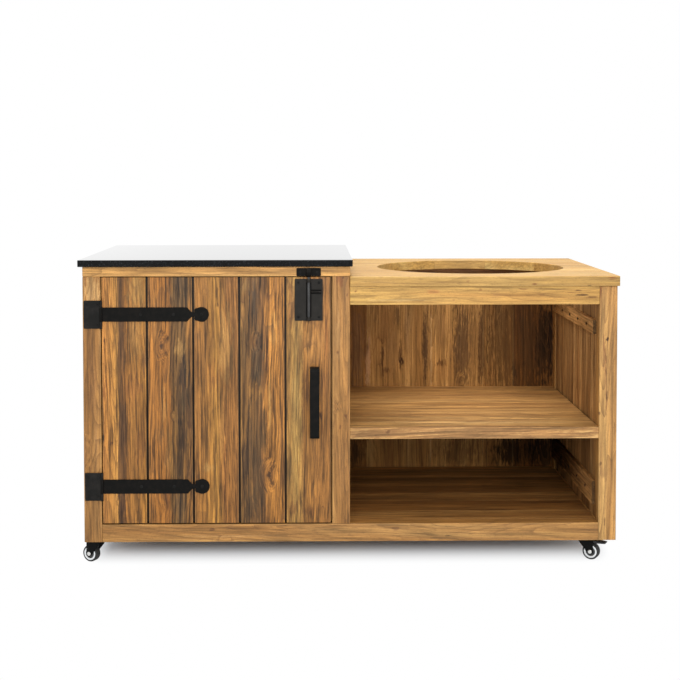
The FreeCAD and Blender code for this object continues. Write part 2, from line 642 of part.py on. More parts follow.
crown_half = "Sizes.strap_head_radius * 0.9"
strap_screw_offsets = [f"{shoulder_x} * 0.45", f"{shoulder_x} * 0.83", head_x]
plates, straps, pins = [], [], []
plate_screws, strap_screws = [], []
for level, z in hinge_levels.items():
    plate = newBody(f"hinge_plate_{level}", (hinge_x, front_y, z))
    block(plate, (f"{plate_reach} - {relief}", "Sizes.hinge_sheet", "Sizes.hinge_plate_height"),
          (f"-{plate_reach}", sheet_y, f"-{plate_half}"))
    for start in (f"-{plate_half}", f"{strap_half} + {knuckle_gap}"):
        block(plate, (relief, "Sizes.hinge_sheet", plate_knuckle), (f"-{relief}", sheet_y, start))
        rod(plate, "Sizes.knuckle_radius", plate_knuckle, ("0", pin_y, start))
    rod(plate, bore, "Sizes.hinge_plate_height", ("0", pin_y, f"-{plate_half}"), cut=True)
    for index, (side_x, side_z) in enumerate(
            ((x, z_sign) for x in (f"-{plate_reach} + Sizes.screw_margin",
                                   f"-{relief} - Sizes.screw_margin / 2")
             for z_sign in ("-1", "1"))):
        offset_z = f"({side_z}) * ({plate_half} - Sizes.screw_margin)"
        screwHole(plate, side_x, offset_z, "Sizes.hinge_sheet")
        plate_screws.append(screw(f"hinge_plate_screw_{level}_{index}", f"{hinge_x} + {side_x}",
                                  f"{z} + {offset_z}", "Sizes.hinge_sheet"))
    plates.append(plate)

    strap = newBody(f"hinge_strap_{level}", (hinge_x, front_y, z))
    corners = [(relief, f"-{strap_half}"), (shoulder_x, f"-{strap_half}"),
               (neck_x, f"-{neck_half}"), (back_x, f"-{neck_half}"),
               (back_x, f"-{back_half}"), (cheek_x, f"-{cheek_half}"),
               (head_x, f"-{crown_half}"), (head_x, crown_half),
               (cheek_x, cheek_half), (back_x, back_half),
               (back_x, neck_half), (neck_x, neck_half),
               (shoulder_x, strap_half), (relief, strap_half)]
    pad(strap, outline(strap, "XZ_Plane", corners), "Sizes.hinge_sheet")
    rod(strap, "Sizes.strap_head_radius", "Sizes.hinge_sheet",
        (head_x, sheet_y, "0"), "y")
    block(strap, (relief, "Sizes.hinge_sheet", "Sizes.strap_width"),
          ("0", sheet_y, f"-{strap_half}"))
    rod(strap, "Sizes.knuckle_radius", "Sizes.strap_width", ("0", pin_y, f"-{strap_half}"))
    rod(strap, bore, "Sizes.strap_width", ("0", pin_y, f"-{strap_half}"), cut=True)
    for index, offset in enumerate(strap_screw_offsets):
        screwHole(strap, offset, "0", "Sizes.hinge_sheet")
        strap_screws.append(screw(f"strap_screw_{level}_{index}", f"{hinge_x} + {offset}", z,
                                  "Sizes.hinge_sheet"))
    straps.append(strap)

    pin = newBody(f"hinge_pin_{level}", (hinge_x, f"{front_y} + {pin_y}", z))
    rod(pin, "Sizes.pin_radius", "Sizes.hinge_plate_height", ("0", "0", f"-{plate_half}"))
    for start in (plate_half, f"-{plate_half} - Sizes.pin_head"):
        rod(pin, "Sizes.knuckle_radius", "Sizes.pin_head", ("0", "0", start))
    pins.append(pin)
group("hinge_plates", plates)
group("hinge_straps", straps)
group("hinge_pins", pins)

# Barrel bolt: plate and rod on the door, keeper on the edge of the sub-top.
# The rod is stored withdrawn, with its tip just under the keeper.
bolt_x = f"({middle_x} - Sizes.bolt_inset)"
rod_y = "(-Sizes.bolt_sheet - Sizes.bolt_clearance - Sizes.bolt_radius)"
bolt_plate_top = f"({door_z} + {door_height} - Sizes.bolt_plate_margin)"
bolt_plate_half = "Sizes.bolt_plate_width / 2"
guide_radius = "Sizes.bolt_radius + Sizes.bolt_clearance + Sizes.guide_wall"
bolt_plate = newBody("bolt_plate", (bolt_x, front_y, bolt_plate_top))
block(bolt_plate, ("Sizes.bolt_plate_width", "Sizes.bolt_sheet", "Sizes.bolt_plate_height"),
      (f"-{bolt_plate_half}", "-Sizes.bolt_sheet", "-Sizes.bolt_plate_height"))
for start in ("-Sizes.guide_height", "-Sizes.bolt_plate_height"):
    rod(bolt_plate, guide_radius, "Sizes.guide_height", ("0", rod_y, start))
rod(bolt_plate, "Sizes.bolt_radius + Sizes.bolt_clearance", "Sizes.bolt_plate_height",
    ("0", rod_y, "-Sizes.bolt_plate_height"), cut=True)
block(bolt_plate, (f"2 * ({guide_radius})", guide_radius, "Sizes.bolt_plate_height"),
      (f"-({guide_radius})", "0", "-Sizes.bolt_plate_height"), cut=True)
bolt_screws = []
for index, (sign_x, level) in enumerate(((x, z) for x in ("-1", "1") for z in ("top", "bottom"))):
    side_x = f"({sign_x}) * ({bolt_plate_half} - Sizes.screw_margin)"
    side_z = "-Sizes.screw_margin" if level == "top" else "Sizes.screw_margin - Sizes.bolt_plate_height"
    screwHole(bolt_plate, side_x, side_z, "Sizes.bolt_sheet")
    bolt_screws.append(screw(f"bolt_screw_{index}", f"{bolt_x} + {side_x}",
                             f"{bolt_plate_top} + {side_z}", "Sizes.bolt_sheet"))
keep(bolt_plate, "bolt_plate")

keeper_z = f"({top_z} + Sizes.keeper_margin)"
loop_half = "(Sizes.bolt_radius + Sizes.keeper_clearance)"
loop_outer_half = f"({loop_half} + Sizes.guide_wall)"
loop_inner_y = f"({rod_y} - {loop_half})"
keeper = newBody("bolt_keeper", (bolt_x, front_y, keeper_z))
block(keeper, ("Sizes.keeper_width", "Sizes.bolt_sheet", "Sizes.keeper_height"),
      ("-Sizes.keeper_width / 2", "-Sizes.bolt_sheet", "0"))
loop = block(keeper, (f"2 * {loop_outer_half}", f"Sizes.guide_wall - {loop_inner_y} - Sizes.bolt_sheet",
                      "Sizes.keeper_height"),
             (f"-{loop_outer_half}", f"{loop_inner_y} - Sizes.guide_wall", "0"))
loop_front = number(f"{loop_inner_y} - Sizes.guide_wall")
ease(keeper, loop, "Sizes.loop_round",
     lambda start, end: along("z")(start, end) and abs(start.y - loop_front) < 1e-6)
block(keeper, (f"2 * {loop_half}", f"-{loop_inner_y} - Sizes.bolt_sheet", "Sizes.keeper_height"),
      (f"-{loop_half}", loop_inner_y, "0"), cut=True)
keeper_screws = []
for index, sign in enumerate(("-1", "1")):
    side_x = f"({sign}) * (Sizes.keeper_width / 2 - Sizes.screw_margin)"
    screwHole(keeper, side_x, "Sizes.keeper_height / 2", "Sizes.bolt_sheet")
    keeper_screws.append(screw(f"keeper_screw_{index}", f"{bolt_x} + {side_x}",
                               f"{keeper_z} + Sizes.keeper_height / 2", "Sizes.bolt_sheet"))
keep(keeper, "bolt_keeper")

rod_foot = f"({bolt_plate_top} - Sizes.bolt_plate_height)"
rod_tip = f"({keeper_z} - Sizes.bolt_parting)"
bolt_rod = newBody("bolt_rod", (bolt_x, f"{front_y} + {rod_y}", rod_foot))
rod(bolt_rod, "Sizes.bolt_radius", f"{rod_tip} - {rod_foot}", ("0", "0", "0"))
block(bolt_rod, ("Sizes.arm_length", "Sizes.bolt_radius", "Sizes.arm_height"),
      ("0", "-Sizes.bolt_radius / 2",
       f"{top_z} - Sizes.arm_level - Sizes.arm_height / 2 - {rod_foot}"))
keep(bolt_rod, "bolt_rod")

# Pull handle: a flat bar bent back to the door at both ends.
reach = "Sizes.handle_reach"
bar = "Sizes.handle_bar"
length = "Sizes.handle_length"
handle = newBody("pull_handle", (f"{middle_x} - Sizes.handle_inset", front_y,
                                 f"{foot_z} + Sizes.handle_level - {length} / 2"))
handle_corners = [("0", "0"), (f"-{reach}", "0"), (f"-{reach}", length), ("0", length),
                  ("0", f"{length} - {bar}"), (f"{bar} - {reach}", f"{length} - {bar}"),
                  (f"{bar} - {reach}", bar), ("0", bar)]
handle_pad = pad(handle, outline(handle, "YZ_Plane", handle_corners), "Sizes.handle_width",
                 both_sides=True)
handle_front = -number(reach)
ease(handle, handle_pad, "Sizes.handle_round",
     lambda start, end: abs(start.y - handle_front) < 1e-6 and abs(end.y - handle_front) < 1e-6)
keep(handle, "pull_handle")
group("door_screws", strap_screws + bolt_screws)

# Casters. Each one's pieces are drawn about its swivel, with the trail along their own X axis.
swivels = {}
for row_name, edge, sign in (("front", front_y, "+"), ("rear", back_y, "-")):
    swivels[f"{row_name}_left"] = (f"{left_x} + Sizes.left_caster_inset",
                                   f"{edge} {sign} Sizes.left_caster_setback")
    swivels[f"{row_name}_right"] = (f"{right_outer_x} - Sizes.right_caster_inset",
                                    f"{edge} {sign} Sizes.right_caster_setback")
crown_z = "-(Sizes.caster_sheet + Sizes.race_height)"
bridge_z = f"({crown_z} - Sizes.fork_sheet)"
axle_z = "(Sizes.wheel_radius - Sizes.caster_height)"
trail = "Sizes.caster_trail"
fork_half = "(Sizes.fork_inner_width / 2 + Sizes.fork_sheet)"
boss = "Sizes.fork_boss_radius"
half_wheel = "Sizes.wheel_width / 2"
hub_boss_half = "(Sizes.fork_inner_width / 2 - Sizes.hub_boss_clearance)"
web_half = f"({half_wheel} - Sizes.hub_web_depth)"
caster_screws = []


def casterPlate(corner, place):
    body = newBody(f"caster_plate_{corner}", place)
    size = "Sizes.caster_plate_size"
    block(body, (size, size, "Sizes.caster_sheet"),
          (f"-{size} / 2", f"-{size} / 2", "-Sizes.caster_sheet"))
    rod(body, "Sizes.race_radius", "Sizes.race_height", ("0", "0", crown_z))
    rod(body, "Sizes.kingpin_radius", f"Sizes.fork_sheet + Sizes.kingpin_head_height",
        ("0", "0", f"{bridge_z} - Sizes.kingpin_head_height"))
    rod(body, "Sizes.kingpin_head_radius", "Sizes.kingpin_head_height",
        ("0", "0", f"{bridge_z} - Sizes.kingpin_head_height"))
    pitch = "Sizes.caster_screw_pitch"
    for index, (sign_x, sign_y) in enumerate(((x, y) for x in ("-0.5", "0.5")
                                              for y in ("-0.5", "0.5"))):
        x, y = f"{sign_x} * {pitch}", f"{sign_y} * {pitch}"
        rod(body, "Sizes.screw_radius + Sizes.screw_clearance", "Sizes.caster_sheet",
            (x, y, "-Sizes.caster_sheet"), cut=True)
        fixing = newBody(f"caster_screw_{corner}_{index}",
                         (f"{place[0]} + {x}", f"{place[1]} + {y}", place[2]))
        rod(fixing, "Sizes.screw_head_radius", "Sizes.screw_head_height",
            ("0", "0", "-Sizes.caster_sheet - Sizes.screw_head_height"))
        rod(fixing, "Sizes.screw_radius", "Sizes.caster_sheet + Sizes.screw_length",
            ("0", "0", "-Sizes.caster_sheet"))
        caster_screws.append(fixing)
    keep(body, f"caster_plate_{corner}")


def casterFork(corner, place, turn, braked):
    """Crown, bridge and two legs that end in round bosses at the axle."""
    body = newBody(f"caster_fork_{corner}", place, turn)
    corners = [("-Sizes.fork_front", crown_z), (f"{trail} + {boss}", crown_z),
               (f"{trail} + {boss}", axle_z), (f"{trail} - {boss} / 2", f"{axle_z} - {boss} / 2"),
               ("-Sizes.fork_front", f"{bridge_z} - {boss}")]
    pad(body, outline(body, "XZ_Plane", corners), f"2 * {fork_half}", both_sides=True)
    rod(body, boss, f"2 * {fork_half}", (trail, f"-{fork_half}", axle_z), "y")
    rod(body, "Sizes.fork_crown_radius", "Sizes.fork_sheet", ("0", "0", bridge_z))
    block(body, (f"Sizes.fork_front + {trail} + 3 * {boss}", "Sizes.fork_inner_width",
                 "Sizes.caster_height"),
          (f"-Sizes.fork_front - {boss}", "-Sizes.fork_inner_width / 2",
           f"{bridge_z} - Sizes.caster_height"), cut=True)
    rod(body, "Sizes.kingpin_radius + Sizes.kingpin_clearance", "Sizes.fork_sheet",
        ("0", "0", bridge_z), cut=True)
    rod(body, "Sizes.axle_radius", f"2 * {fork_half}", (trail, f"-{fork_half}", axle_z), "y",
        cut=True)
    if braked:
        rod(body, "Sizes.pedal_pin_radius + Sizes.pedal_pin_clearance", f"2 * {fork_half}",
            ("Sizes.pedal_pivot_offset", f"-{fork_half}", "-Sizes.pedal_pivot_drop"), "y",
            cut=True)
    keep(body, f"caster_fork_{corner}")


def casterAxle(corner, place, turn):
    body = newBody(f"caster_axle_{corner}", place, turn)
    rod(body, "Sizes.axle_radius", f"2 * {fork_half}", ("0", f"-{fork_half}", "0"), "y")
    for start in (fork_half, f"-{fork_half} - Sizes.axle_cap_height"):
        rod(body, "Sizes.axle_cap_radius", "Sizes.axle_cap_height", ("0", start, "0"), "y")
    keep(body, f"caster_axle_{corner}")


def casterHub(corner, place, turn):
    """A ring, a dished web on both sides and a boss with the axle's bore."""
    body = newBody(f"caster_hub_{corner}", place, turn)
    hub_bore = "Sizes.axle_radius + Sizes.axle_clearance"
    half = [(hub_boss_half, hub_bore), (hub_boss_half, "Sizes.hub_boss_radius"),
            (web_half, "Sizes.hub_boss_radius"), (web_half, "Sizes.hub_web_radius"),
            (half_wheel, "Sizes.hub_web_radius"), (half_wheel, "Sizes.hub_radius")]
    mirrored = [(f"-({u})", v) for u, v in reversed(half)]
    revolve(body, outline(body, "YZ_Plane", half + mirrored))
    keep(body, f"caster_hub_{corner}")


def casterTyre(corner, place, turn):
    body = newBody(f"caster_tyre_{corner}", place, turn)
    crown = "Sizes.tyre_crown"
    half = [(half_wheel, "Sizes.hub_radius"), (half_wheel, f"Sizes.wheel_radius - {crown}"),
            (f"{half_wheel} - {crown} / 4", f"Sizes.wheel_radius - {crown} / 3"),
            (f"{half_wheel} - {crown}", "Sizes.wheel_radius")]
    mirrored = [(f"-({u})", v) for u, v in reversed(half)]
    revolve(body, outline(body, "YZ_Plane", half + mirrored))
    keep(body, f"caster_tyre_{corner}")


def casterPedal(corner, place, turn):
    """A wedge between the legs, on a pin of its own."""
    body = newBody(f"brake_pedal_{corner}", place, turn)
    pivot = "Sizes.pedal_pivot_offset"
    drop = "Sizes.pedal_pivot_drop"
    width = "(Sizes.fork_inner_width - 2 * Sizes.pedal_side_clearance)"
    heel = "Sizes.pedal_heel"
    corners = [(f"{pivot} - {heel}", f"-{drop} + {heel}"),
               (f"{pivot} + {heel}", f"-{drop} + {heel}"),
               ("Sizes.pedal_reach", "-Sizes.pedal_top"),
               ("Sizes.pedal_reach", "-Sizes.pedal_top - Sizes.pedal_tip"),
               (f"{pivot} + Sizes.pedal_shoe_offset", f"-{drop} - Sizes.pedal_shoe_drop"),
               (f"{pivot} - {heel}", f"-{drop} - {heel}")]
    pad(body, outline(body, "XZ_Plane", corners), width, both_sides=True)
    rod(body, "Sizes.pedal_pin_radius", f"2 * {fork_half}", (pivot, f"-{fork_half}", f"-{drop}"),
        "y")
    keep(body, f"brake_pedal_{corner}")


for corner, (x, y) in swivels.items():
    turn = f"Sizes.{corner}_turn"
    place = (x, y, foot_z)
    wheel_place = (f"{x} + {trail} * cos({turn})", f"{y} + {trail} * sin({turn})",
                   "Sizes.wheel_radius")
    braked = corner.endswith("right")
    casterPlate(corner, place)
    casterFork(corner, place, turn, braked)
    casterAxle(corner, wheel_place, turn)
    casterHub(corner, wheel_place, turn)
    casterTyre(corner, wheel_place, turn)
    if braked:
        casterPedal(corner, place, turn)
group("frame_screws", plate_screws + keeper_screws + batten_screws + caster_screws)

doc.recompute()
failed = [thing.Name for thing in doc.Objects
          if any(state in ("Invalid", "Error") for state in thing.State)]
if failed:
    raise RuntimeError(f"objects failed: {failed}")
for piece in pieces:
    if piece.Shape.isNull() or not piece.Shape.isValid() or not piece.Shape.Solids:
        raise RuntimeError(f"piece has no valid shape: {piece.Label}")
for piece in pieces:
    piece.Shape.exportStep(f"parts/{piece.Label}.step")
box = Part.makeCompound([piece.Shape for piece in pieces]).BoundBox
print(len(pieces), "pieces,", sum(len(piece.Shape.Solids) for piece in pieces), "solids")
print("box", [round(v, 2) for v in (box.XMin, box.YMin, box.ZMin, box.XMax, box.YMax, box.ZMax)])
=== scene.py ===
import math
from functools import partial

import bpy
import numpy as np
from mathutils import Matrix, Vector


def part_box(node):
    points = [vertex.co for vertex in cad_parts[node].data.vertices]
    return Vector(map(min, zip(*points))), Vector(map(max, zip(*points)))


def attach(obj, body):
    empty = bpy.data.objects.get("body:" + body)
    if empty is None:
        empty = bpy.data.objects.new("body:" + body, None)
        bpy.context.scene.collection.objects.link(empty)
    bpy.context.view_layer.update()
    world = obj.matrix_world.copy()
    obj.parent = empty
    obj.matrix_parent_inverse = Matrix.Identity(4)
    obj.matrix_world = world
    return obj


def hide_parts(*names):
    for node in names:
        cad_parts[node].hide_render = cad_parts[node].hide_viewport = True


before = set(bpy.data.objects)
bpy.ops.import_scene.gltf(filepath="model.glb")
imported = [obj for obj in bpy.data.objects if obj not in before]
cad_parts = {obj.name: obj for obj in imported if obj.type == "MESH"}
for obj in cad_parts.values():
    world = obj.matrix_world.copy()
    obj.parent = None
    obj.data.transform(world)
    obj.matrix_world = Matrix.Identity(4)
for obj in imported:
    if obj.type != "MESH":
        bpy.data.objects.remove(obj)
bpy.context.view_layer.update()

mm = 0.001
rng = np.random.default_rng(12)
print("frame loaded")


# Shapes.


def unit(vectors):
    # Vectors divided by their own lengths.
    return vectors / np.linalg.norm(vectors, axis=-1, keepdims=True)


def roundedOutline(points, radii, steps=4, near=0.5 * mm, far=3 * mm):
    # Every corner is cut back and bridged by an arc that touches both of its sides.
    # Two more points on each side keep the flat faces flat and say where the wear ends.
    points = np.asarray(points, float)
    radii = np.broadcast_to(np.asarray(radii, float), len(points))[:, None]
    back = unit(np.roll(points, 1, 0) - points)
    ahead = unit(np.roll(points, -1, 0) - points)
    half = np.arccos(np.clip((back * ahead).sum(1), -1, 1))[:, None] / 2
    centre = points + unit(back + ahead) * radii / np.sin(half)
    start = points + back * radii / np.tan(half)
    end = points + ahead * radii / np.tan(half)
    turn = (math.pi - 2 * half)[:, :, None]
    share = np.linspace(0, 1, steps + 1)[None, :, None]
    arc = centre[:, None] + ((start - centre)[:, None] * np.sin((1 - share) * turn)
                             + (end - centre)[:, None] * np.sin(share * turn)) / np.sin(turn)
    ring = np.concatenate([(start + back * far)[:, None], (start + back * near)[:, None], arc,
                           (end + ahead * near)[:, None], (end + ahead * far)[:, None]], 1)
    wear = np.r_[0, 0.6, np.ones(steps + 1), 0.6, 0]
    return ring.reshape(-1, 2), np.tile(wear, len(points))


def rectangle(x0, y0, x1, y1, radius, steps=4, near=0.5 * mm, far=3 * mm):
    # A rectangle between two corners, rounded in the same way.
    return roundedOutline([(x0, y0), (x1, y0), (x1, y1), (x0, y1)], radius, steps, near, far)


def inset(outline, amounts):
    # Each point moves square to the line between its neighbours, towards the inside.
    # Every amount gives an outline of its own.
    along = unit(np.roll(outline, -1, 0) - np.roll(outline, 1, 0))
    area = (outline[:, 0] * np.roll(outline[:, 1], -1) - outline[:, 1] * np.roll(outline[:, 0], -1)).sum()
    inward = np.stack([-along[:, 1], along[:, 0]], 1) * (1 if area > 0 else -1)
    return outline + inward * amounts[:, None, None]


def stand(shapes, axis, stations):
    # Flat outlines stand square to an axis, one at each station along it.
    rings = np.zeros((len(stations), shapes.shape[-2], 3))
    rings[..., [i for i in range(3) if i != axis]] = shapes
    rings[..., axis] = stations[:, None]
    return rings


def turnedOver(part):
    # The same part with the points of every face in the opposite order.
    return {**part, "quads": part["quads"][:, ::-1], "caps": [cap[::-1] for cap in part["caps"]]}


def ringSolid(rings, closed=False, flatCaps=True):
    # Quads join each ring of points to the next one. The two ends get caps, or the last ring
    # joins the first where the solid is itself a ring. A positive volume has its faces outwards.
    count, around = rings.shape[:2]
    points = rings.reshape(-1, 3)
    first = np.arange(count if closed else count - 1)[:, None] * around
    second = (first + around) % (count * around)
    step = np.arange(around)[None, :]
    following = (step + 1) % around
    quads = np.stack([first + step, first + following, second + following, second + step], -1).reshape(-1, 4)
    end = np.arange(around)
    caps = [] if closed else [end[::-1], end + (count - 1) * around]
    a, b, c, d = (points[quads[:, k]] for k in range(4))
    volume = (np.cross(a, b) * c).sum() + (np.cross(a, c) * d).sum()
    for cap in caps:
        fan = points[cap]
        volume += (np.cross(fan[0], fan[1:-1]) * fan[2:]).sum()
    part = {"points": points, "quads": quads, "caps": caps, "flatCaps": flatCaps}
    return part if volume > 0 else turnedOver(part)


def endInsets(length, ease, steps=3):
    # Stations along a length and how far the outline draws in there, on a quarter circle.
    angle = np.linspace(0, math.pi / 2, steps + 1)
    stations = ease * (1 - np.sin(angle))[::-1]
    amounts = ease * (1 - np.cos(angle))[::-1]
    return np.r_[stations, length - stations[::-1]], np.r_[amounts, amounts[::-1]]


def extrude(outline, axis, start, length, ease=0.0, place=(0, 0, 0), steps=3):
    # The outline is carried straight along an axis, and draws in at both ends.
    if ease:
        stations, amounts = endInsets(length, ease, steps)
    else:
        stations, amounts = np.array([0, length]), np.zeros(2)
    return ringSolid(stand(inset(outline, amounts), axis, start + stations) + np.asarray(place))


def lathe(profile, axis, place=(0, 0, 0), around=40, closed=False, relief=None):
    # The profile's (radius, height) points are turned about an axis; relief lifts points by angle.
    profile = np.asarray(profile, float)
    angle = np.linspace(0, 2 * math.pi, around, endpoint=False)
    radius = np.broadcast_to(profile[:, :1], (len(profile), around))
    height = np.broadcast_to(profile[:, 1:], (len(profile), around))
    if relief is not None:
        height = height + relief(radius, angle[None, :])
    others = [i for i in range(3) if i != axis]
    rings = np.zeros((len(profile), around, 3))
    rings[..., others[0]] = radius * np.cos(angle)
    rings[..., others[1]] = radius * np.sin(angle)
    rings[..., axis] = height
    return ringSolid(rings + np.asarray(place), closed, flatCaps=False)


def turned(part, degrees, shift):
    # The part is turned about the upright axis and then moved.
    c, s = math.cos(math.radians(degrees)), math.sin(math.radians(degrees))
    spin = np.array([[c, -s, 0], [s, c, 0], [0, 0, 1]])
    return {**part, "points": part["points"] @ spin.T + shift}


def makePiece(name, parts, material, body, replaced=()):
    # All the parts become one mesh, with what wood needs as point attributes.
    base = np.cumsum([0] + [len(part["points"]) for part in parts])
    quads = np.concatenate([part["quads"] + start for part, start in zip(parts, base)])
    caps = [(cap + start).tolist() for part, start in zip(parts, base) for cap in part["caps"]]
    smoothCaps = [not part["flatCaps"] for part in parts for cap in part["caps"]]
    mesh = bpy.data.meshes.new(name)
    mesh.from_pydata(np.concatenate([part["points"] for part in parts]).tolist(), [], quads.tolist() + caps)
    mesh.polygons.foreach_set("use_smooth", [True] * len(quads) + smoothCaps)
    for key in ("grain", "tone", "across", "wear", "endGrainAndGapShade"):
        if key in parts[0]:
            values = np.concatenate([part[key] for part in parts]).astype(np.float32)
            kind, field = ("FLOAT_VECTOR", "vector") if values.ndim == 2 else ("FLOAT", "value")
            mesh.attributes.new(key, kind, "POINT").data.foreach_set(field, values.ravel())
    mesh.materials.append(material)
    mesh.update()
    piece = bpy.data.objects.new(name, mesh)
    bpy.context.scene.collection.objects.link(piece)
    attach(piece, body)
    if replaced:
        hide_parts(*replaced)
    return piece


def finishBoard(part, axis, wear, tone=None, across=None, endGrainAndGapShade=0.0):
    # Each board is cut from its own place in a log: the grain's first coordinate runs
    # along the board, and the other two are measured from that log's heart.
    count = len(wear)
    rings = len(part["points"]) // count
    points = part["points"]
    others = [i for i in range(3) if i != axis]
    low, high = points.min(0), points.max(0)
    spans = high - low
    heart = rng.uniform([-0.35, -1.0], [1.35, -0.2])
    wide = others[0] if spans[others[0]] >= spans[others[1]] else others[1]
    thin = others[1] if wide == others[0] else others[0]
    grain = np.zeros_like(points)
    grain[:, 0] = points[:, axis] + rng.uniform(0, 50)
    along = points[:, axis] - low[axis]
    lean = rng.uniform(-0.03, 0.03, 2)
    grain[:, 1] = points[:, wide] - low[wide] - heart[0] * spans[wide] + lean[0] * along
    grain[:, 2] = points[:, thin] - low[thin] - heart[1] * 0.08 + lean[1] * along
    part["grain"] = grain
    part["tone"] = np.full(len(points), rng.uniform(0.15, 0.85) if tone is None else tone)
    part["across"] = (points[:, wide] - low[wide]) / spans[wide] if across is None else across(points)
    part["wear"] = np.tile(wear, rings)
    # The end rings get dark end grain; an amount given here adds painted shade, as in the door's gaps.
    endGrainAndGapShade = np.zeros((rings, count)) + endGrainAndGapShade
    endGrainAndGapShade[[0, -1]] = np.maximum(endGrainAndGapShade[[0, -1]], 0.4)
    part["endGrainAndGapShade"] = endGrainAndGapShade.ravel()
    return part


def board(low, high, ease, tone=None):
    # A board with eased edges between two corners. The grain follows its longest side.
    low, high = np.asarray(low, float), np.asarray(high, float)
    axis = int(np.argmax(high - low))
    a, b = (i for i in range(3) if i != axis)
    outline, wear = rectangle(low[a], low[b], high[a], high[b], ease, 3)
    part = extrude(outline, axis, low[axis], high[axis] - low[axis], ease)
    return finishBoard(part, axis, wear, tone)


def solidBoxes(node):
    # The boxes of a CAD node's separate solids, found by joining triangles that share a corner.
    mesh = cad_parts[node].data
    points = np.zeros(len(mesh.vertices) * 3)
    mesh.vertices.foreach_get("co", points)
    points = points.reshape(-1, 3)
    triangles = np.array([list(face.vertices) for face in mesh.polygons])
    label = np.unique(np.round(points, 5), axis=0, return_inverse=True)[1].ravel()
    links = label[triangles]
    group = np.arange(label.max() + 1)
    while True:
        lowest = group[links].min(1)
        fresh = group.copy()
        for side in range(3):
            np.minimum.at(fresh, links[:, side], lowest)
        fresh = fresh[fresh]
        if (fresh == group).all():
            break
        group = fresh
    mine = group[label]
    boxes = [(points[mine == g].min(0), points[mine == g].max(0)) for g in np.unique(mine)]
    return sorted(boxes, key=lambda box: tuple(np.round(box[0], 3)))


# Materials.


def linear(code):
    # An sRGB hex colour as linear light.
    light = np.array([int(code[i:i + 2], 16) for i in (1, 3, 5)]) / 255
    light = np.where(light <= 0.04045, light / 12.92, ((light + 0.055) / 1.055) ** 2.4)
    return (*light.tolist(), 1.0)


def addNode(tree, kind, inputs=None, out=0, stops=None, **settings):
    # Adds a node with its settings and links, and gives back one of its outputs.
    node = tree.nodes.new("ShaderNode" + kind)
    for key, value in settings.items():
        setattr(node, key, value)
    if stops:
        ramp = node.color_ramp
        while len(ramp.elements) < len(stops):
            ramp.elements.new(0.5)
        for element, (place, colour) in zip(ramp.elements, stops):
            element.position = place
            element.color = linear(colour) if isinstance(colour, str) else (colour, colour, colour, 1)
    for key, value in (inputs or {}).items():
        if isinstance(value, bpy.types.NodeSocket):
            tree.links.new(value, node.inputs[key])
        else:
            node.inputs[key].default_value = linear(value) if isinstance(value, str) else value
    return node if out is None else node.outputs[out]


def newMaterial(name):
    # An empty material, and addNode for its tree.
    material = bpy.data.materials.new(name)
    material.use_nodes = True
    material.node_tree.nodes.clear()
    return material, partial(addNode, material.node_tree)


def finishMaterial(add, inputs, height=None, distance=0.0002, strength=1.0):
    # The shader and its output, with a bump where a height is given.
    if height is not None:
        bump = add("Bump", {"Height": height, "Distance": distance, "Strength": strength})
        inputs = {**inputs, "Normal": bump}
    add("OutputMaterial", {"Surface": add("BsdfPrincipled", inputs)}, None)


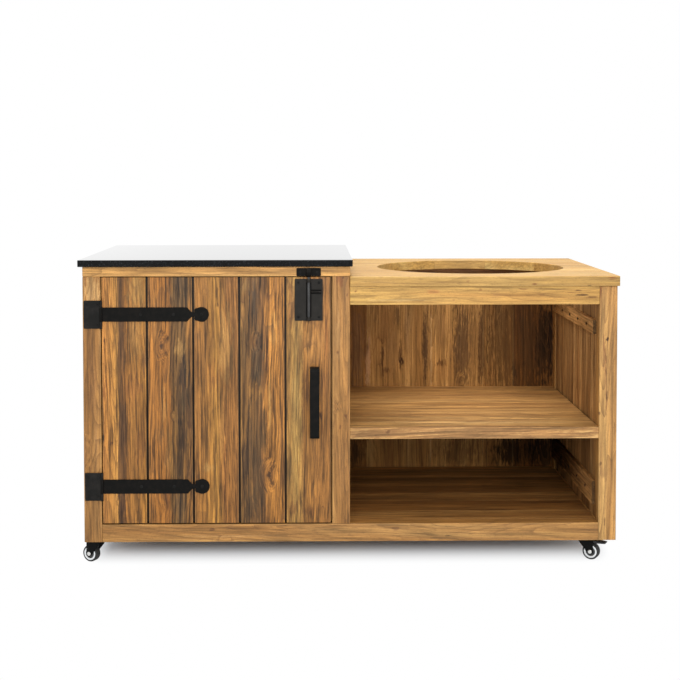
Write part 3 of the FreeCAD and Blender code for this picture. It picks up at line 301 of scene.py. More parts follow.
def teak(name, look):
    # Oiled reclaimed teak. The eye gets wandering zones of colour some 60 mm wide, streaks of 9 mm
    # with finer lines among them, growth rings cut into flames, short pores, small knots that
    # the lines bend round, grey weathered stains and a few open cracks.
    look = {"zones": [(0.0, "#7A5230"), (0.35, "#9A6A3C"), (0.65, "#B98950"), (1.0, "#CDA067")],
            "useAcross": False, "wander": 0.10,  # zones that run across the board, and how far they stray
            "toneSpan": ("#D2C2B2", "#FFFFFF"),  # what tints the darkest board and the lightest
            "order": None,  # a CAD node's axes along, across and through its boards
            "contrast": 1.0, "streak": 110.0, "wave": 0.016,  # the grain's force, fineness and bends
            "ring": "#5A3A1C", "ringForce": 0.6, "rings": 26.0,
            "knots": 0.3, "cracks": 0.5, "stain": 0.25, "dashes": 0.22,  # how much shows of each
            "marks": [], "front": -378, "deep": 20,  # marks, and where along y they lie and how deep, in mm
            "broken": 0.35,  # how much the grain breaks a mark
            "wearColour": "#E0B87C", "wearForce": 0.12, "rough": 0.52, "sheen": 0.3, **look}
    material, add = newMaterial(name)
    spot = add("TexCoord", out="Object")
    if look["order"]:
        # A CAD node has no attributes: its axes in the order of along, across and through the board.
        axes = add("SeparateXYZ", {0: spot}, None).outputs
        grain = add("CombineXYZ", {k: axes[axis] for k, axis in enumerate(look["order"])})
        square = add("VectorMath", {0: add("TexCoord", out="Normal")}, operation="ABSOLUTE")
        ends = add("SeparateXYZ", {0: square}, None).outputs[look["order"][0]]
        tone, wear, endGrainAndGapShade = 0.6, 0.0, add("MapRange", {"Value": ends, "From Min": 0.8, "To Max": 0.8})
    else:
        grain = add("Attribute", out="Vector", attribute_name="grain")
        tone, wear, endGrainAndGapShade = (add("Attribute", out="Fac", attribute_name=key)
                            for key in ("tone", "wear", "endGrainAndGapShade"))

    # The grain wanders sideways in slow bends of some 400 mm and in small ones of 50 mm.
    calm = add("VectorMath", {0: grain, 1: (0.25, 1, 1)}, operation="MULTIPLY")
    drift = add("TexNoise", {"Vector": calm, "Scale": 10.0, "Detail": 1.5, "Roughness": 0.4}, "Color")
    drift = add("VectorMath", {0: drift, 1: (0.5, 0.5, 0.5)}, operation="SUBTRACT")
    bent = add("VectorMath", {0: drift, 1: (0, look["wave"], look["wave"]), 2: grain},
               operation="MULTIPLY_ADD")
    ripple = add("VectorMath", {0: grain, 1: (0.4, 1, 1)}, operation="MULTIPLY")
    ripple = add("TexNoise", {"Vector": ripple, "Scale": 45.0, "Detail": 2.0}, "Color")
    ripple = add("VectorMath", {0: ripple, 1: (0.5, 0.5, 0.5)}, operation="SUBTRACT")
    bent = add("VectorMath", {0: ripple, 1: (0, 0.0035, 0.0035), 2: bent}, operation="MULTIPLY_ADD")

    # Knots: one point in each cell of 220 x 110 mm, kept where the cell's colour says so.
    sparse = add("VectorMath", {0: bent, 1: (4.5, 9, 5)}, operation="MULTIPLY")
    cells = add("TexVoronoi", {"Vector": sparse, "Scale": 1.0}, None).outputs
    gate = add("SeparateXYZ", {0: cells["Color"]}, None).outputs
    kept = add("Math", {0: gate[0], 1: look["knots"]}, operation="LESS_THAN")
    size = add("MapRange", {"Value": gate[1], "To Min": 0.025, "To Max": 0.07})
    reach = add("Math", {0: cells["Distance"], 1: size}, operation="DIVIDE")
    rag = add("TexNoise", {"Vector": grain, "Scale": 110.0, "Detail": 2.0})
    ragged = add("Math", {0: rag, 1: 1.2, 2: reach}, operation="MULTIPLY_ADD")
    knot = add("MapRange", {"Value": ragged, "From Min": 1.75, "From Max": 1.3})
    knot = add("Math", {0: knot, 1: kept}, operation="MULTIPLY")
    halo = add("MapRange", {"Value": reach, "From Min": 4.0, "From Max": 0.8})
    halo = add("Math", {0: halo, 1: kept}, operation="MULTIPLY")
    flow = add("VectorMath", {0: halo, 1: (0, 0.016, 0.01), 2: bent}, operation="MULTIPLY_ADD")
    long = add("VectorMath", {0: flow, 1: (0.0275, 1, 1)}, operation="MULTIPLY")
    short = add("VectorMath", {0: flow, 1: (0.18, 1, 1)}, operation="MULTIPLY")

    # The noises of the wood: mottles of 24 mm, streaks of 9 mm and finer lines, and growth rings.
    mottle = add("TexNoise", {"Vector": short, "Scale": 42.0, "Detail": 5.0, "Roughness": 0.58})
    streak = add("TexNoise", {"Vector": long, "Scale": look["streak"], "Detail": 3.0, "Roughness": 0.6})
    streak = add("MapRange", {"Value": streak, "From Min": 0.40, "From Max": 0.60})
    fibre = add("TexNoise", {"Vector": long, "Scale": look["streak"] * 1.8, "Detail": 3.0, "Roughness": 0.6})
    fibre = add("MapRange", {"Value": fibre, "From Min": 0.38, "From Max": 0.62})
    flames = add("VectorMath", {0: flow, 1: (0.09, 1, 1)}, operation="MULTIPLY")
    rings = add("TexNoise", {"Vector": flames, "Scale": 11.0, "Detail": 1.2, "Roughness": 0.45})
    rings = add("Math", {0: halo, 1: 0.12, 2: rings}, operation="MULTIPLY_ADD")
    rings = add("Math", {0: rings, 1: look["rings"]}, operation="MULTIPLY")
    rings = add("Math", {0: rings}, operation="FRACT")
    late = add("Math", {0: rings, 1: 3.0}, operation="POWER")

    if look["useAcross"]:
        across = add("Attribute", out="Fac", attribute_name="across")
        uneven = add("Math", {0: mottle, 1: 0.5}, operation="SUBTRACT")
        zone = add("Math", {0: uneven, 1: look["wander"] * 2, 2: across}, operation="MULTIPLY_ADD")
    else:
        zone = add("TexNoise", {"Vector": long, "Scale": 16.0, "Detail": 4.0, "Roughness": 0.55})
        zone = add("MapRange", {"Value": zone, "From Min": 0.3, "From Max": 0.7})
    colour = add("ValToRGB", {0: zone}, stops=look["zones"])
    tint = add("Mix", {0: tone, 6: look["toneSpan"][0], 7: look["toneSpan"][1]}, 2, data_type="RGBA")
    colour = add("Mix", {0: 1.0, 6: colour, 7: tint}, 2, data_type="RGBA", blend_type="MULTIPLY")

    # Marks are ragged ellipses of colour where the look puts them, broken into lines along the grain: stains
    # and knots, and in some looks painted shade.
    blur = add("TexNoise", {"Vector": short, "Scale": 170.0, "Detail": 4.0, "Roughness": 0.65}, "Color")
    blur = add("VectorMath", {0: blur, 1: (0.5, 0.5, 0.5)}, operation="SUBTRACT")
    lines = add("Math", {0: add("Math", {0: streak, 1: fibre}), 1: look["broken"], 2: -look["broken"]},
                operation="MULTIPLY_ADD")
    for x, z, wide, tall, shade, force in look["marks"]:
        away = add("Mapping", {"Vector": spot, "Location": (x * mm, look["front"] * mm, z * mm),
                               "Scale": (wide * mm, look["deep"] * mm, tall * mm)}, vector_type="TEXTURE")
        away = add("VectorMath", {0: blur, 1: (3.6, 0, 3.6), 2: away}, operation="MULTIPLY_ADD")
        away = add("Math", {0: add("VectorMath", {0: away}, "Value", operation="LENGTH"), 1: lines})
        away = add("MapRange", {"Value": away, "From Min": 1.2, "From Max": 0.6, "To Max": force})
        colour = add("Mix", {0: away, 6: colour, 7: shade}, 2, data_type="RGBA")

    # Mottles, streaks and fibres lighten and darken the colour about its own level.
    force = [look["contrast"] * share for share in (0.85, 0.38, 0.50)]
    level = add("Math", {0: mottle, 1: force[0], 2: 1.0 - sum(force) / 2}, operation="MULTIPLY_ADD")
    level = add("Math", {0: streak, 1: force[1], 2: level}, operation="MULTIPLY_ADD")
    level = add("Math", {0: fibre, 1: force[2], 2: level}, operation="MULTIPLY_ADD")
    level = add("Math", {0: level, 1: 0.25}, operation="MAXIMUM")
    colour = add("Mix", {0: 1.0, 6: colour, 7: level}, 2, data_type="RGBA", blend_type="MULTIPLY")

    # Growth rings that come and go, short dark dashes, pores and grey stains.
    seldom = add("TexNoise", {"Vector": long, "Scale": 24.0, "Detail": 2.0})
    seldom = add("MapRange", {"Value": seldom, "From Min": 0.35, "From Max": 0.65, "To Min": 0.25,
                              "To Max": look["ringForce"]})
    dash = add("TexNoise", {"Vector": short, "Scale": 190.0, "Detail": 2.0})
    dash = add("MapRange", {"Value": dash, "From Min": 0.62, "From Max": 0.68, "To Max": look["dashes"]})
    pores = add("TexNoise", {"Vector": calm, "Scale": 950.0, "Detail": 1.5})
    pores = add("MapRange", {"Value": pores, "From Min": 0.60, "From Max": 0.70})
    stain = add("TexNoise", {"Vector": short, "Scale": 17.0, "Detail": 5.0, "Roughness": 0.62})
    stain = add("MapRange", {"Value": stain, "From Min": 0.54, "From Max": 0.70, "To Max": look["stain"]})

    # An open crack is a line where a slow pattern passes through its middle.
    crack = add("TexNoise", {"Vector": long, "Scale": 34.0, "Detail": 1.5})
    crack = add("Math", {0: crack, 1: 0.5, 2: 0.004}, operation="COMPARE")
    here = add("TexNoise", {"Vector": short, "Scale": 15.0, "Detail": 1.0})
    here = add("MapRange", {"Value": here, "From Min": 0.60, "From Max": 0.66, "To Max": look["cracks"]})
    crack = add("Math", {0: crack, 1: here}, operation="MULTIPLY")

    # All of these lie over the colour in turn. Eased edges are rubbed lighter and end grain is darker,
    # and the sides of a gap get near-black painted shade.
    rubbed = add("MapRange", {"Value": mottle, "From Min": 0.35, "From Max": 0.65,
                              "To Min": 0.2 * look["wearForce"], "To Max": look["wearForce"]})
    layers = [(add("Math", {0: late, 1: seldom}, operation="MULTIPLY"), look["ring"]),
              (dash, "#4A2E18"),
              (add("Math", {0: pores, 1: 0.45}, operation="MULTIPLY"), "#2E1D10"),
              (stain, "#5A4228"),
              (add("Math", {0: halo, 1: 0.30}, operation="MULTIPLY"), "#6B4424"),
              (add("Math", {0: knot, 1: 0.8}, operation="MULTIPLY"), "#2C1C10"),
              (crack, "#140C07"),
              (add("Math", {0: wear, 1: rubbed}, operation="MULTIPLY"), look["wearColour"]),
              (endGrainAndGapShade, "#0E0704")]
    for force, shade in layers:
        colour = add("Mix", {0: force, 6: colour, 7: shade}, 2, data_type="RGBA")

    # Fibres and growth rings stand up a little. Pores, cracks and knots lie lower.
    height = add("Math", {0: fibre, 1: 0.6, 2: add("Math", {0: late, 1: 0.25}, operation="MULTIPLY")},
                 operation="MULTIPLY_ADD")
    height = add("Math", {0: pores, 1: -0.5, 2: height}, operation="MULTIPLY_ADD")
    height = add("Math", {0: add("Math", {0: crack, 1: knot}), 1: -0.8, 2: height}, operation="MULTIPLY_ADD")
    rough = add("MapRange", {"Value": fibre, "To Min": look["rough"] + 0.08, "To Max": look["rough"] - 0.06})
    surface = {"Base Color": colour, "Roughness": rough, "Specular IOR Level": look["sheen"]}
    finishMaterial(add, surface, height, 0.0003, 0.7)
    return material


def granite():
    # Polished black granite: near black, with fine grey mineral grains of 1 to 3 mm and a few
    # bright flecks, and a mirror polish that shows the pale room at a low angle.
    material, add = newMaterial("polishedBlackGranite")
    place = add("TexCoord", out="Object")
    grains = add("TexVoronoi", {"Vector": place, "Scale": 420.0}, "Color")
    base = add("ValToRGB", {0: add("SeparateXYZ", {0: grains})},
               stops=[(0.0, "#090909"), (0.7, "#121212"), (0.94, "#1E1F20"), (1.0, "#2C2E30")])
    cloud = add("TexNoise", {"Vector": place, "Scale": 26.0, "Detail": 3.0})
    shade = add("ValToRGB", {0: cloud}, stops=[(0.3, 0.55), (0.7, 1.0)])
    base = add("Mix", {0: 1.0, 6: base, 7: shade}, 2, data_type="RGBA", blend_type="MULTIPLY")
    surface = {"Base Color": base, "Roughness": 0.05, "Specular IOR Level": 0.08,
               "Coat Weight": 1.0, "Coat IOR": 1.15, "Coat Roughness": 0.03}
    finishMaterial(add, surface, cloud, 0.00004, 0.4)
    return material


def coated(name, colour, worn, rough=0.5, metallic=0.0, grit=900.0, bump=0.00006, wear=0.25, gloss=0.5,
           cloudScale=38.0, second=None):
    # A coated or moulded surface: an even colour with fine grit of about a millimetre, cloudy
    # gloss from handling, and rubbed spots. A second colour shows where the tone attribute is 0.
    material, add = newMaterial(name)
    place = add("TexCoord", out="Object")
    fine = add("TexNoise", {"Vector": place, "Scale": grit, "Detail": 2.0})
    cloud = add("TexNoise", {"Vector": place, "Scale": cloudScale, "Detail": 4.0, "Roughness": 0.62})
    rubbed = add("MapRange", {"Value": cloud, "From Min": 0.45, "From Max": 0.7, "To Max": wear})
    if second:
        tone = add("Attribute", out="Fac", attribute_name="tone")
        colour = add("Mix", {0: tone, 6: second, 7: colour}, 2, data_type="RGBA")
    base = add("Mix", {0: rubbed, 6: colour, 7: worn}, 2, data_type="RGBA")
    dull = add("MapRange", {"Value": cloud, "From Min": 0.3, "From Max": 0.7, "To Min": rough + 0.07,
                            "To Max": rough - 0.07})
    surface = {"Base Color": base, "Roughness": dull, "Metallic": metallic, "Specular IOR Level": gloss}
    finishMaterial(add, surface, fine, bump, 0.5)
    return material


# The stains and knots that show most, and on the back, the side and the battens patches of painted shade: x,
# z, half width and half height in mm, colour and strength.
marks = {
    "door1": [
        (-672, 656, 10.5, 89.5, "#4D3219", 0.75), (-671, 389, 13.5, 134, "#53371F", 0.6),
        (-674, 186, 14, 65.5, "#442B16", 0.9), (-628, 814, 26.5, 59.5, "#A37B3E", 0.5),
        (-634, 686, 20.5, 65.5, "#986F39", 0.45), (-605, 606, 7.5, 41.5, "#5C3D23", 0.55),
        (-640, 528, 23.5, 47.5, "#72441F", 0.45), (-619, 359, 17.5, 71.5, "#72451F", 0.45),
        (-725, 523, 9, 30, "#663816", 0.6), (-724, 671, 4.5, 9, "#3B1D07", 0.85),
        (-706, 365, 4, 5, "#5B2C0F", 0.75), (-730, 383, 3.5, 9, "#251204", 0.85)],
    "door2": [
        (-504, 820, 32.5, 53.5, "#63492A", 0.65), (-525, 790, 6, 15, "#3C2917", 0.65),
        (-499, 841, 12, 24, "#4A3621", 0.6), (-469, 820, 6, 36, "#523A1F", 0.6),
        (-522, 642, 7.5, 101.5, "#4D351C", 0.65), (-499, 648, 15, 36, "#9C743E", 0.65),
        (-490, 570, 12, 59.5, "#392A1D", 0.85), (-490, 487, 13.5, 41.5, "#43341F", 0.75),
        (-510, 523, 6, 77.5, "#48321C", 0.6), (-504, 430, 10.5, 9, "#3E2B18", 0.7),
        (-474, 421, 4.5, 12, "#3E210D", 0.8), (-490, 374, 12, 41.5, "#3E2B18", 0.75),
        (-560, 392, 15, 30, "#614322", 0.6), (-513, 296, 6, 71.5, "#442F18", 0.6),
        (-475, 290, 7.5, 59.5, "#50361D", 0.55), (-504, 177, 17.5, 47.5, "#4A361F", 0.7),
        (-540, 195, 6, 44.5, "#5E3617", 0.55), (-549, 478, 10.5, 53.5, "#9F6F36", 0.5),
        (-540, 308, 7.5, 41.5, "#A17037", 0.45), (-572, 731, 15, 89.5, "#96662E", 0.4)],
    "door3": [
        (-366, 656, 20.5, 113, "#A1783E", 0.5), (-378, 398, 10.5, 83.5, "#A37135", 0.55),
        (-390, 778, 4.5, 9, "#4C2F13", 0.85), (-389, 820, 2, 36, "#603E1A", 0.7),
        (-369, 296, 2.5, 131, "#5C3414", 0.75), (-404, 564, 17.5, 41.5, "#804C1F", 0.45),
        (-446, 686, 9, 18, "#664626", 0.5), (-428, 368, 20.5, 83.5, "#7A5225", 0.4),
        (-416, 293, 17.5, 12, "#9B753F", 0.5), (-448, 267, 7.5, 9, "#5A391B", 0.5),
        (-348, 195, 9, 47.5, "#764C1F", 0.35)],
    "door4": [
        (-281, 790, 13.5, 65.5, "#473624", 0.85), (-272, 618, 23.5, 77.5, "#493823", 0.8),
        (-313, 656, 7.5, 77.5, "#553E1F", 0.65), (-278, 517, 23.5, 24, "#895F2B", 0.75),
        (-266, 493, 12, 21, "#553E20", 0.5), (-295, 374, 10.5, 125, "#4B361F", 0.75),
        (-257, 398, 13.5, 65.5, "#523E21", 0.65), (-310, 308, 9, 59.5, "#3E2D1D", 0.75),
        (-275, 285, 23.5, 77.5, "#47351F", 0.7), (-292, 177, 20.5, 47.5, "#3A2C1B", 0.75),
        (-260, 204, 12, 53.5, "#47351F", 0.6), (-244, 636, 2.5, 77.5, "#5E3515", 0.7),
        (-239, 799, 5.5, 12, "#6A3E19", 0.7), (-222, 766, 3.5, 18, "#673C19", 0.6),
        (-236, 481, 4.5, 89.5, "#AF8141", 0.55), (-225, 701, 15, 53.5, "#AA7C3E", 0.45),
        (-204, 368, 9, 149, "#875A2B", 0.4), (-307, 832, 12, 27, "#775A31", 0.5)],
    "door5": [
        (-157, 418, 17.5, 208.5, "#A07D40", 0.55), (-172, 775, 10.5, 65.5, "#76461F", 0.6),
        (-104, 656, 35.5, 53.5, "#A37137", 0.5), (-138, 418, 2.5, 185, "#5D391B", 0.6),
        (-124, 517, 7.5, 53.5, "#6B4122", 0.55), (-84, 445, 4.5, 12, "#3C210D", 0.9),
        (-80, 409, 3, 24, "#663D1C", 0.6), (-68, 671, 4.5, 77.5, "#814B1F", 0.5),
        (-166, 171, 12, 24, "#633616", 0.5), (-116, 163, 12, 15, "#70421B", 0.5),
        (-174, 285, 10.5, 53.5, "#816131", 0.5), (-157, 517, 12, 65.5, "#A68347", 0.4),
        (-74, 537, 6, 41.5, "#734622", 0.5)],
    "frame": [
        (-761, 812, 32, 46, "#D8A868", 0.6), (-29, 847, 9, 21, "#844824", 0.6),
        (-18, 856, 3, 3.5, "#552C16", 0.8), (-7, 805, 3, 5, "#663B1D", 0.7), (-34, 634, 3, 4, "#62371B", 0.8),
        (-12, 561, 2.5, 24, "#80532C", 0.5), (-10, 445, 3.5, 6, "#62391D", 0.7),
        (-27, 412, 3.5, 6, "#6B4226", 0.6), (-33, 701, 9, 71.5, "#C09157", 0.35),
        (-21, 285, 12, 77.5, "#996B3A", 0.35), (744, 814, 3.5, 18, "#713519", 0.75),
        (755, 642, 2.5, 71.5, "#734424", 0.6), (763, 528, 2.5, 77.5, "#774A28", 0.5),
        (765, 671, 4.5, 6, "#2E160A", 0.95), (759, 600, 2.5, 86, "#6B4020", 0.75),
        (765, 499, 4.5, 13, "#4A2A14", 0.85), (743, 451, 4, 5, "#4E2C17", 0.8),
        (747, 299, 4.5, 6, "#55351D", 0.75), (757, 273, 12, 24, "#805933", 0.5),
        (735, 145, 3, 12, "#6B4226", 0.6), (761, 127, 2, 18, "#482C16", 0.7),
        (-408, 106, 7, 6, "#623F21", 0.7),
        (136, 106, 10.5, 7.5, "#714C2C", 0.65), (-563, 100, 41.5, 3.5, "#805732", 0.4),
        (-351, 87, 147.5, 3.5, "#B38651", 0.5), (444, 94, 177, 3.5, "#896033", 0.35),
        (-758, 537, 12, 89.5, "#805733", 0.35), (-749, 374, 6, 77.5, "#B38451", 0.35),
        (-764, 790, 9, 36, "#B38653", 0.4)],
    "apron": [
        (19, 816, 4.5, 5, "#744620", 0.8), (247, 814, 20.5, 6.5, "#AC6C39", 0.5),
        (307, 790, 4.5, 3.5, "#936537", 0.6), (387, 820, 4.5, 3.5, "#8B5B2B", 0.6),
        (435, 805, 15, 9, "#B07F46", 0.45), (516, 822, 12, 2, "#784A24", 0.7),
        (571, 805, 9, 3, "#87592D", 0.5),
        (677, 817, 15, 2.5, "#462811", 0.85), (689, 805, 20.5, 2.5, "#462811", 0.8),
        (718, 797, 15, 2, "#563116", 0.75), (662, 811, 17.5, 1.5, "#653D1E", 0.6),
        (150, 790, 88.5, 3, "#D8B374", 0.35)],
    "slab": [
        (176, 859, 5.5, 3, "#86562A", 0.6), (350, 847, 6.5, 3, "#8B5E34", 0.55),
        (547, 838, 7, 4, "#7D4B23", 0.7), (774, 857, 12, 2, "#8B4923", 0.7),
        (777, 851, 9, 1.5, "#7D4220", 0.6),
        (91, 844, 59, 3, "#BA9158", 0.35)],
    "back": [
        # Beside the planks' own streaks and knots, the dark patches from the middle to the right end and in
        # the left corner of the upper bay, and those over the lower bay, are painted shade.
        (455, 555, 75, 190, "#8F6637", 0.75), (630, 560, 120, 330, "#3B240B", 0.55),
        (49, 556, 25, 151, "#755333", 0.65), (88, 500, 9, 100, "#C8966A", 0.7),
        (83, 542, 5.5, 27, "#5E3E20", 0.6), (138, 514, 5.5, 50, "#4C3117", 0.85),
        (152, 468, 13.5, 10, "#55381E", 0.7), (202, 523, 6.5, 50, "#4A2E15", 0.85),
        (206, 500, 9, 14, "#2C190A", 0.9), (173, 535, 26, 80, "#A47844", 0.7),
        (191, 662, 9, 37, "#4F381E", 0.6), (227, 625, 11.5, 68, "#8D6A46", 0.4),
        (290, 556, 10, 146, "#4A321E", 0.85), (311, 551, 3.5, 146, "#C39863", 0.85),
        (347, 625, 25, 73, "#A97A46", 0.6), (348, 459, 27.5, 41, "#A06E3B", 0.5),
        (345, 491, 16, 14, "#59371A", 0.75), (379, 532, 3.5, 128, "#B0804C", 0.5),
        (421, 556, 30, 146, "#62462A", 0.8), (488, 532, 11, 137, "#50341A", 0.75),
        (508, 555, 4.5, 146, "#8B6432", 0.5), (549, 555, 39, 151, "#624522", 0.6),
        (605, 458, 9, 41, "#30200C", 0.95), (642, 491, 6.5, 9, "#261506", 0.95),
        (634, 602, 7.5, 55, "#412B11", 0.75), (651, 555, 27.5, 151, "#503416", 0.75),
        (706, 555, 27.5, 155, "#301E0A", 0.9), (734, 555, 11.5, 155, "#1E1005", 0.95),
        (45, 175, 23, 50, "#3E2A18", 0.75), (95, 175, 18.5, 50, "#B0854C", 0.5),
        (310, 174, 3, 50, "#C39863", 0.85), (508, 174, 4, 50, "#906A39", 0.6),
        (593, 174, 59.5, 64, "#241507", 0.95), (709, 174, 68.5, 64, "#0F0702", 0.95),
        (413, 174, 77.5, 55, "#4C331A", 0.55)],
    "shelf": [
        (372, 393, 560, 60, "#8C5E32", 0.7), (117, 398, 7, 5, "#633F21", 0.75),
        (297, 395, 76.5, 3, "#946B38", 0.35), (609, 402, 35.5, 3, "#B58751", 0.35)],
    # Painted shade: the lower part of the right wall is darkened, most towards the rear.
    "side": [(732, 190, 16, 190, "#1C1007", 0.95)],
    # Painted shade: the lower batten darkens towards the rear of the lower bay.
    "batten": [(735, 202, 70, 70, "#6A4827", 0.75), (735, 230, 90, 100, "#160C05", 0.95)],
}
frameTeak = teak("oiledTeakFrame", {
    "zones": [(0.0, "#A17039"), (0.35, "#B78344"), (0.65, "#C69352"), (1.0, "#D2A461")], "knots": 0.15,
    "stain": 0.12, "contrast": 0.95, "toneSpan": ("#C4BCB1", "#FFFFFF"), "marks": marks["frame"]})
apronTeak = teak("oiledTeakApron", {
    "zones": [(0.0, "#B1803F"), (0.35, "#BD914C"), (0.65, "#C59C53"), (1.0, "#CDA762")], "knots": 0.1,
    "stain": 0.08, "contrast": 0.75, "ringForce": 0.4, "marks": marks["apron"]})
wallTeak = teak("oiledTeakWalls", {
    "zones": [(0.0, "#9A6E3B"), (0.4, "#BA894A"), (0.7, "#D19F59"), (1.0, "#E2B26A")], "knots": 0.35,
    "toneSpan": ("#A08B74", "#FFFFFF")})
backTeak = teak("oiledTeakBack", {
    "zones": [(0.0, "#A2743F"), (0.4, "#B9884B"), (0.7, "#C79656"), (1.0, "#D5A665")], "knots": 0.2,
    "contrast": 0.8, "toneSpan": ("#A08B74", "#FFFFFF"), "marks": marks["back"], "front": 386, "deep": 9,
    "broken": 0.12, "sheen": 0.1})
sideTeak = teak("oiledTeakSides", {
    "zones": [(0.0, "#93683B"), (0.4, "#B68852"), (0.7, "#CF9F65"), (1.0, "#E2B579")], "knots": 0.35,
    "contrast": 1.3, "toneSpan": ("#6E5740", "#FFFFFF"), "marks": marks["side"], "front": 330, "deep": 380,
    "broken": 0.1, "sheen": 0.15})
shelfTeak = teak("oiledTeakShelf", {
    "zones": [(0.0, "#916637"), (0.4, "#A97D45"), (0.7, "#B88C51"), (1.0, "#C49A60")], "knots": 0.15,
    "streak": 95.0, "contrast": 1.15, "marks": marks["shelf"], "front": -376})
topTeak = teak("oiledTeakTop", {
    "zones": [(0.0, "#A67C3D"), (0.35, "#B18947"), (0.65, "#BA9452"), (1.0, "#C1A05F")], "knots": 0.12,
    "stain": 0.10, "contrast": 0.6, "ringForce": 0.3, "toneSpan": ("#E6DCD0", "#FFFFFF"),
    "marks": marks["slab"], "front": -398})
doorLooks = [  # the colours run across each plank, from its left edge at 0 to its right edge at 1
    {"zones": [(0.0, "#A0682C"), (0.2, "#A77131"), (0.355, "#AE7A37"), (0.365, "#66441E"), (0.46, "#5C3B18"),
               (0.54, "#845520"), (0.7, "#916128"), (0.85, "#885A23"), (1.0, "#946323")],
     "wander": 0.05, "knots": 0.1, "stain": 0.2, "contrast": 1.7},
    {"zones": [(0.0, "#905D25"), (0.3, "#8B5820"), (0.46, "#83531F"), (0.55, "#6D4B1F"), (0.75, "#5E4220"),
               (0.88, "#714C1F"), (1.0, "#815523")],
     "wander": 0.30, "knots": 0.4, "wave": 0.03, "contrast": 2.1, "ringForce": 0.8},
    {"zones": [(0.0, "#875926"), (0.3, "#8E5F26"), (0.5, "#95682A"), (0.7, "#8C5B26"), (1.0, "#855725")],
     "wander": 0.20, "knots": 0.15, "stain": 0.2, "contrast": 1.8},
    {"zones": [(0.0, "#765225"), (0.15, "#6C4A21"), (0.38, "#634420"), (0.52, "#6E4820"), (0.6, "#976328"),
               (0.8, "#9A6527"), (1.0, "#905E24")],
     "wander": 0.16, "knots": 0.4, "wave": 0.03, "contrast": 2.1, "ringForce": 0.8},
    {"zones": [(0.0, "#8E642C"), (0.2, "#987135"), (0.37, "#966B32"), (0.39, "#6F481C"), (0.43, "#8F6028"),
               (0.7, "#8E5E28"), (1.0, "#875926")],
     "wander": 0.05, "knots": 0.2, "wave": 0.03, "contrast": 1.6},
]
doorTeak = [teak(f"oiledTeakDoor{i + 1}", {"useAcross": True, "marks": marks[f"door{i + 1}"], "streak": 130.0,
                                           **look}) for i, look in enumerate(doorLooks)]
battenTeak = teak("oiledTeakBattens", {
    "order": "YZX", "zones": [(0.0, "#A87C4C"), (0.5, "#C4945A"), (1.0, "#D4A76C")], "knots": 0.2,
    "marks": marks["batten"], "front": 330, "deep": 420, "broken": 0.1, "sheen": 0.1})
blackStone = granite()
# Powder coat on the straps, the pull and the keeper: an even black that hardly shines.
ironBlack = coated("mattBlackPowderCoat", "#0F0E0C", "#1C1713", 0.52, gloss=0.07, wear=0.5, cloudScale=60.0)
# The same coat on the hinge plates, a little paler and more rubbed.
plateBlack = coated("mattBlackHingePlate", "#171614", "#292522", 0.50, gloss=0.10, wear=0.6)
# The bolt's bent sheet: brownish black with a soft shine.
boltBlack = coated("satinBlackSheet", "#1F1C18", "#2C2823", 0.45, gloss=0.13, wear=0.5)
# The rod is dark grey, lighter than its plate: rubbed steel where the guides wear off the coat, and a painted
# highlight for the round rod.
rodSteelAndHighlight = coated("rubbedSteelAndPaintedHighlight", "#343332", "#4A4846", 0.40, wear=0.5, gloss=0.3)
# Blackened screws, hardly lighter than what they hold.
screwBlack = coated("blackenedScrewSteel", "#131210", "#292724", 0.50, wear=0.5, gloss=0.12)
# Lacquer on the casters' pressed steel: deep black with little shine.
casterBlack = coated("blackLacqueredSteel", "#0A0A09", "#1B1A17", 0.45, gloss=0.08)
# Zinc plate on the axles: pale metal with blurred reflections.
axleZinc = coated("zincPlatedSteel", "#D8D7D3", "#A9A7A1", 0.34, 0.85)
# The hubs' nylon is light grey at the rim, and black at the web and the boss.
hubGrey = coated("lightGreyNylon", "#DEDEDC", "#B3B2AE", 0.42, second="#1B1B1B")
# Soft rubber: dull dark grey with dusty spots.
tyreBlack = coated("softBlackRubber", "#20201F", "#45433F", 0.70, grit=700.0, bump=0.0001, wear=0.6,
                   gloss=0.3)
# Moulded nylon pedals: smooth near black with a soft shine.
pedalBlack = coated("mouldedBlackNylon", "#1D1D1E", "#3A3A3A", 0.42, gloss=0.35)
print("materials made")


# Woodwork.

woodRows = [  # CAD nodes that become eased boards: wood, slot, edge radius in mm, axis of the row, nodes
    (frameTeak, "teak_frame", 2.5, None, ["post_front_left", "post_front_middle", "post_front_right",
                                          "post_rear_left", "post_rear_middle", "post_rear_right"]),
    (frameTeak, "teak_frame", 2, None, ["bottom_rail_front", "bottom_rail_rear", "bottom_side_rails"]),
    (apronTeak, "teak_frame", 2, None, ["apron_front"]),
    (frameTeak, "teak_frame", 1.5, 1, ["sub_top"]),
    (wallTeak, "teak_walls", 1.5, None, ["top_rails"]),
    (sideTeak, "teak_walls", 1, 1, ["side_planks"]),
    (wallTeak, "teak_walls", 1, 1, ["partition_planks"]),
    (backTeak, "teak_walls", 1, 0, ["back_planks"]),
    (shelfTeak, "teak_walls", 1, 1, ["floor_boards"]),
    (wallTeak, "teak_walls", 1.5, 1, ["cabinet_shelf"]),
    (shelfTeak, "teak_shelf", 1.5, 1, ["grill_shelf"]),
    (wallTeak, "teak_walls", 1, None, ["door_stop"]),
    (wallTeak, "teak_walls", 2, None, ["door_ledges"]),
    (wallTeak, "teak_walls", 1.5, None, ["bearers"]),
]
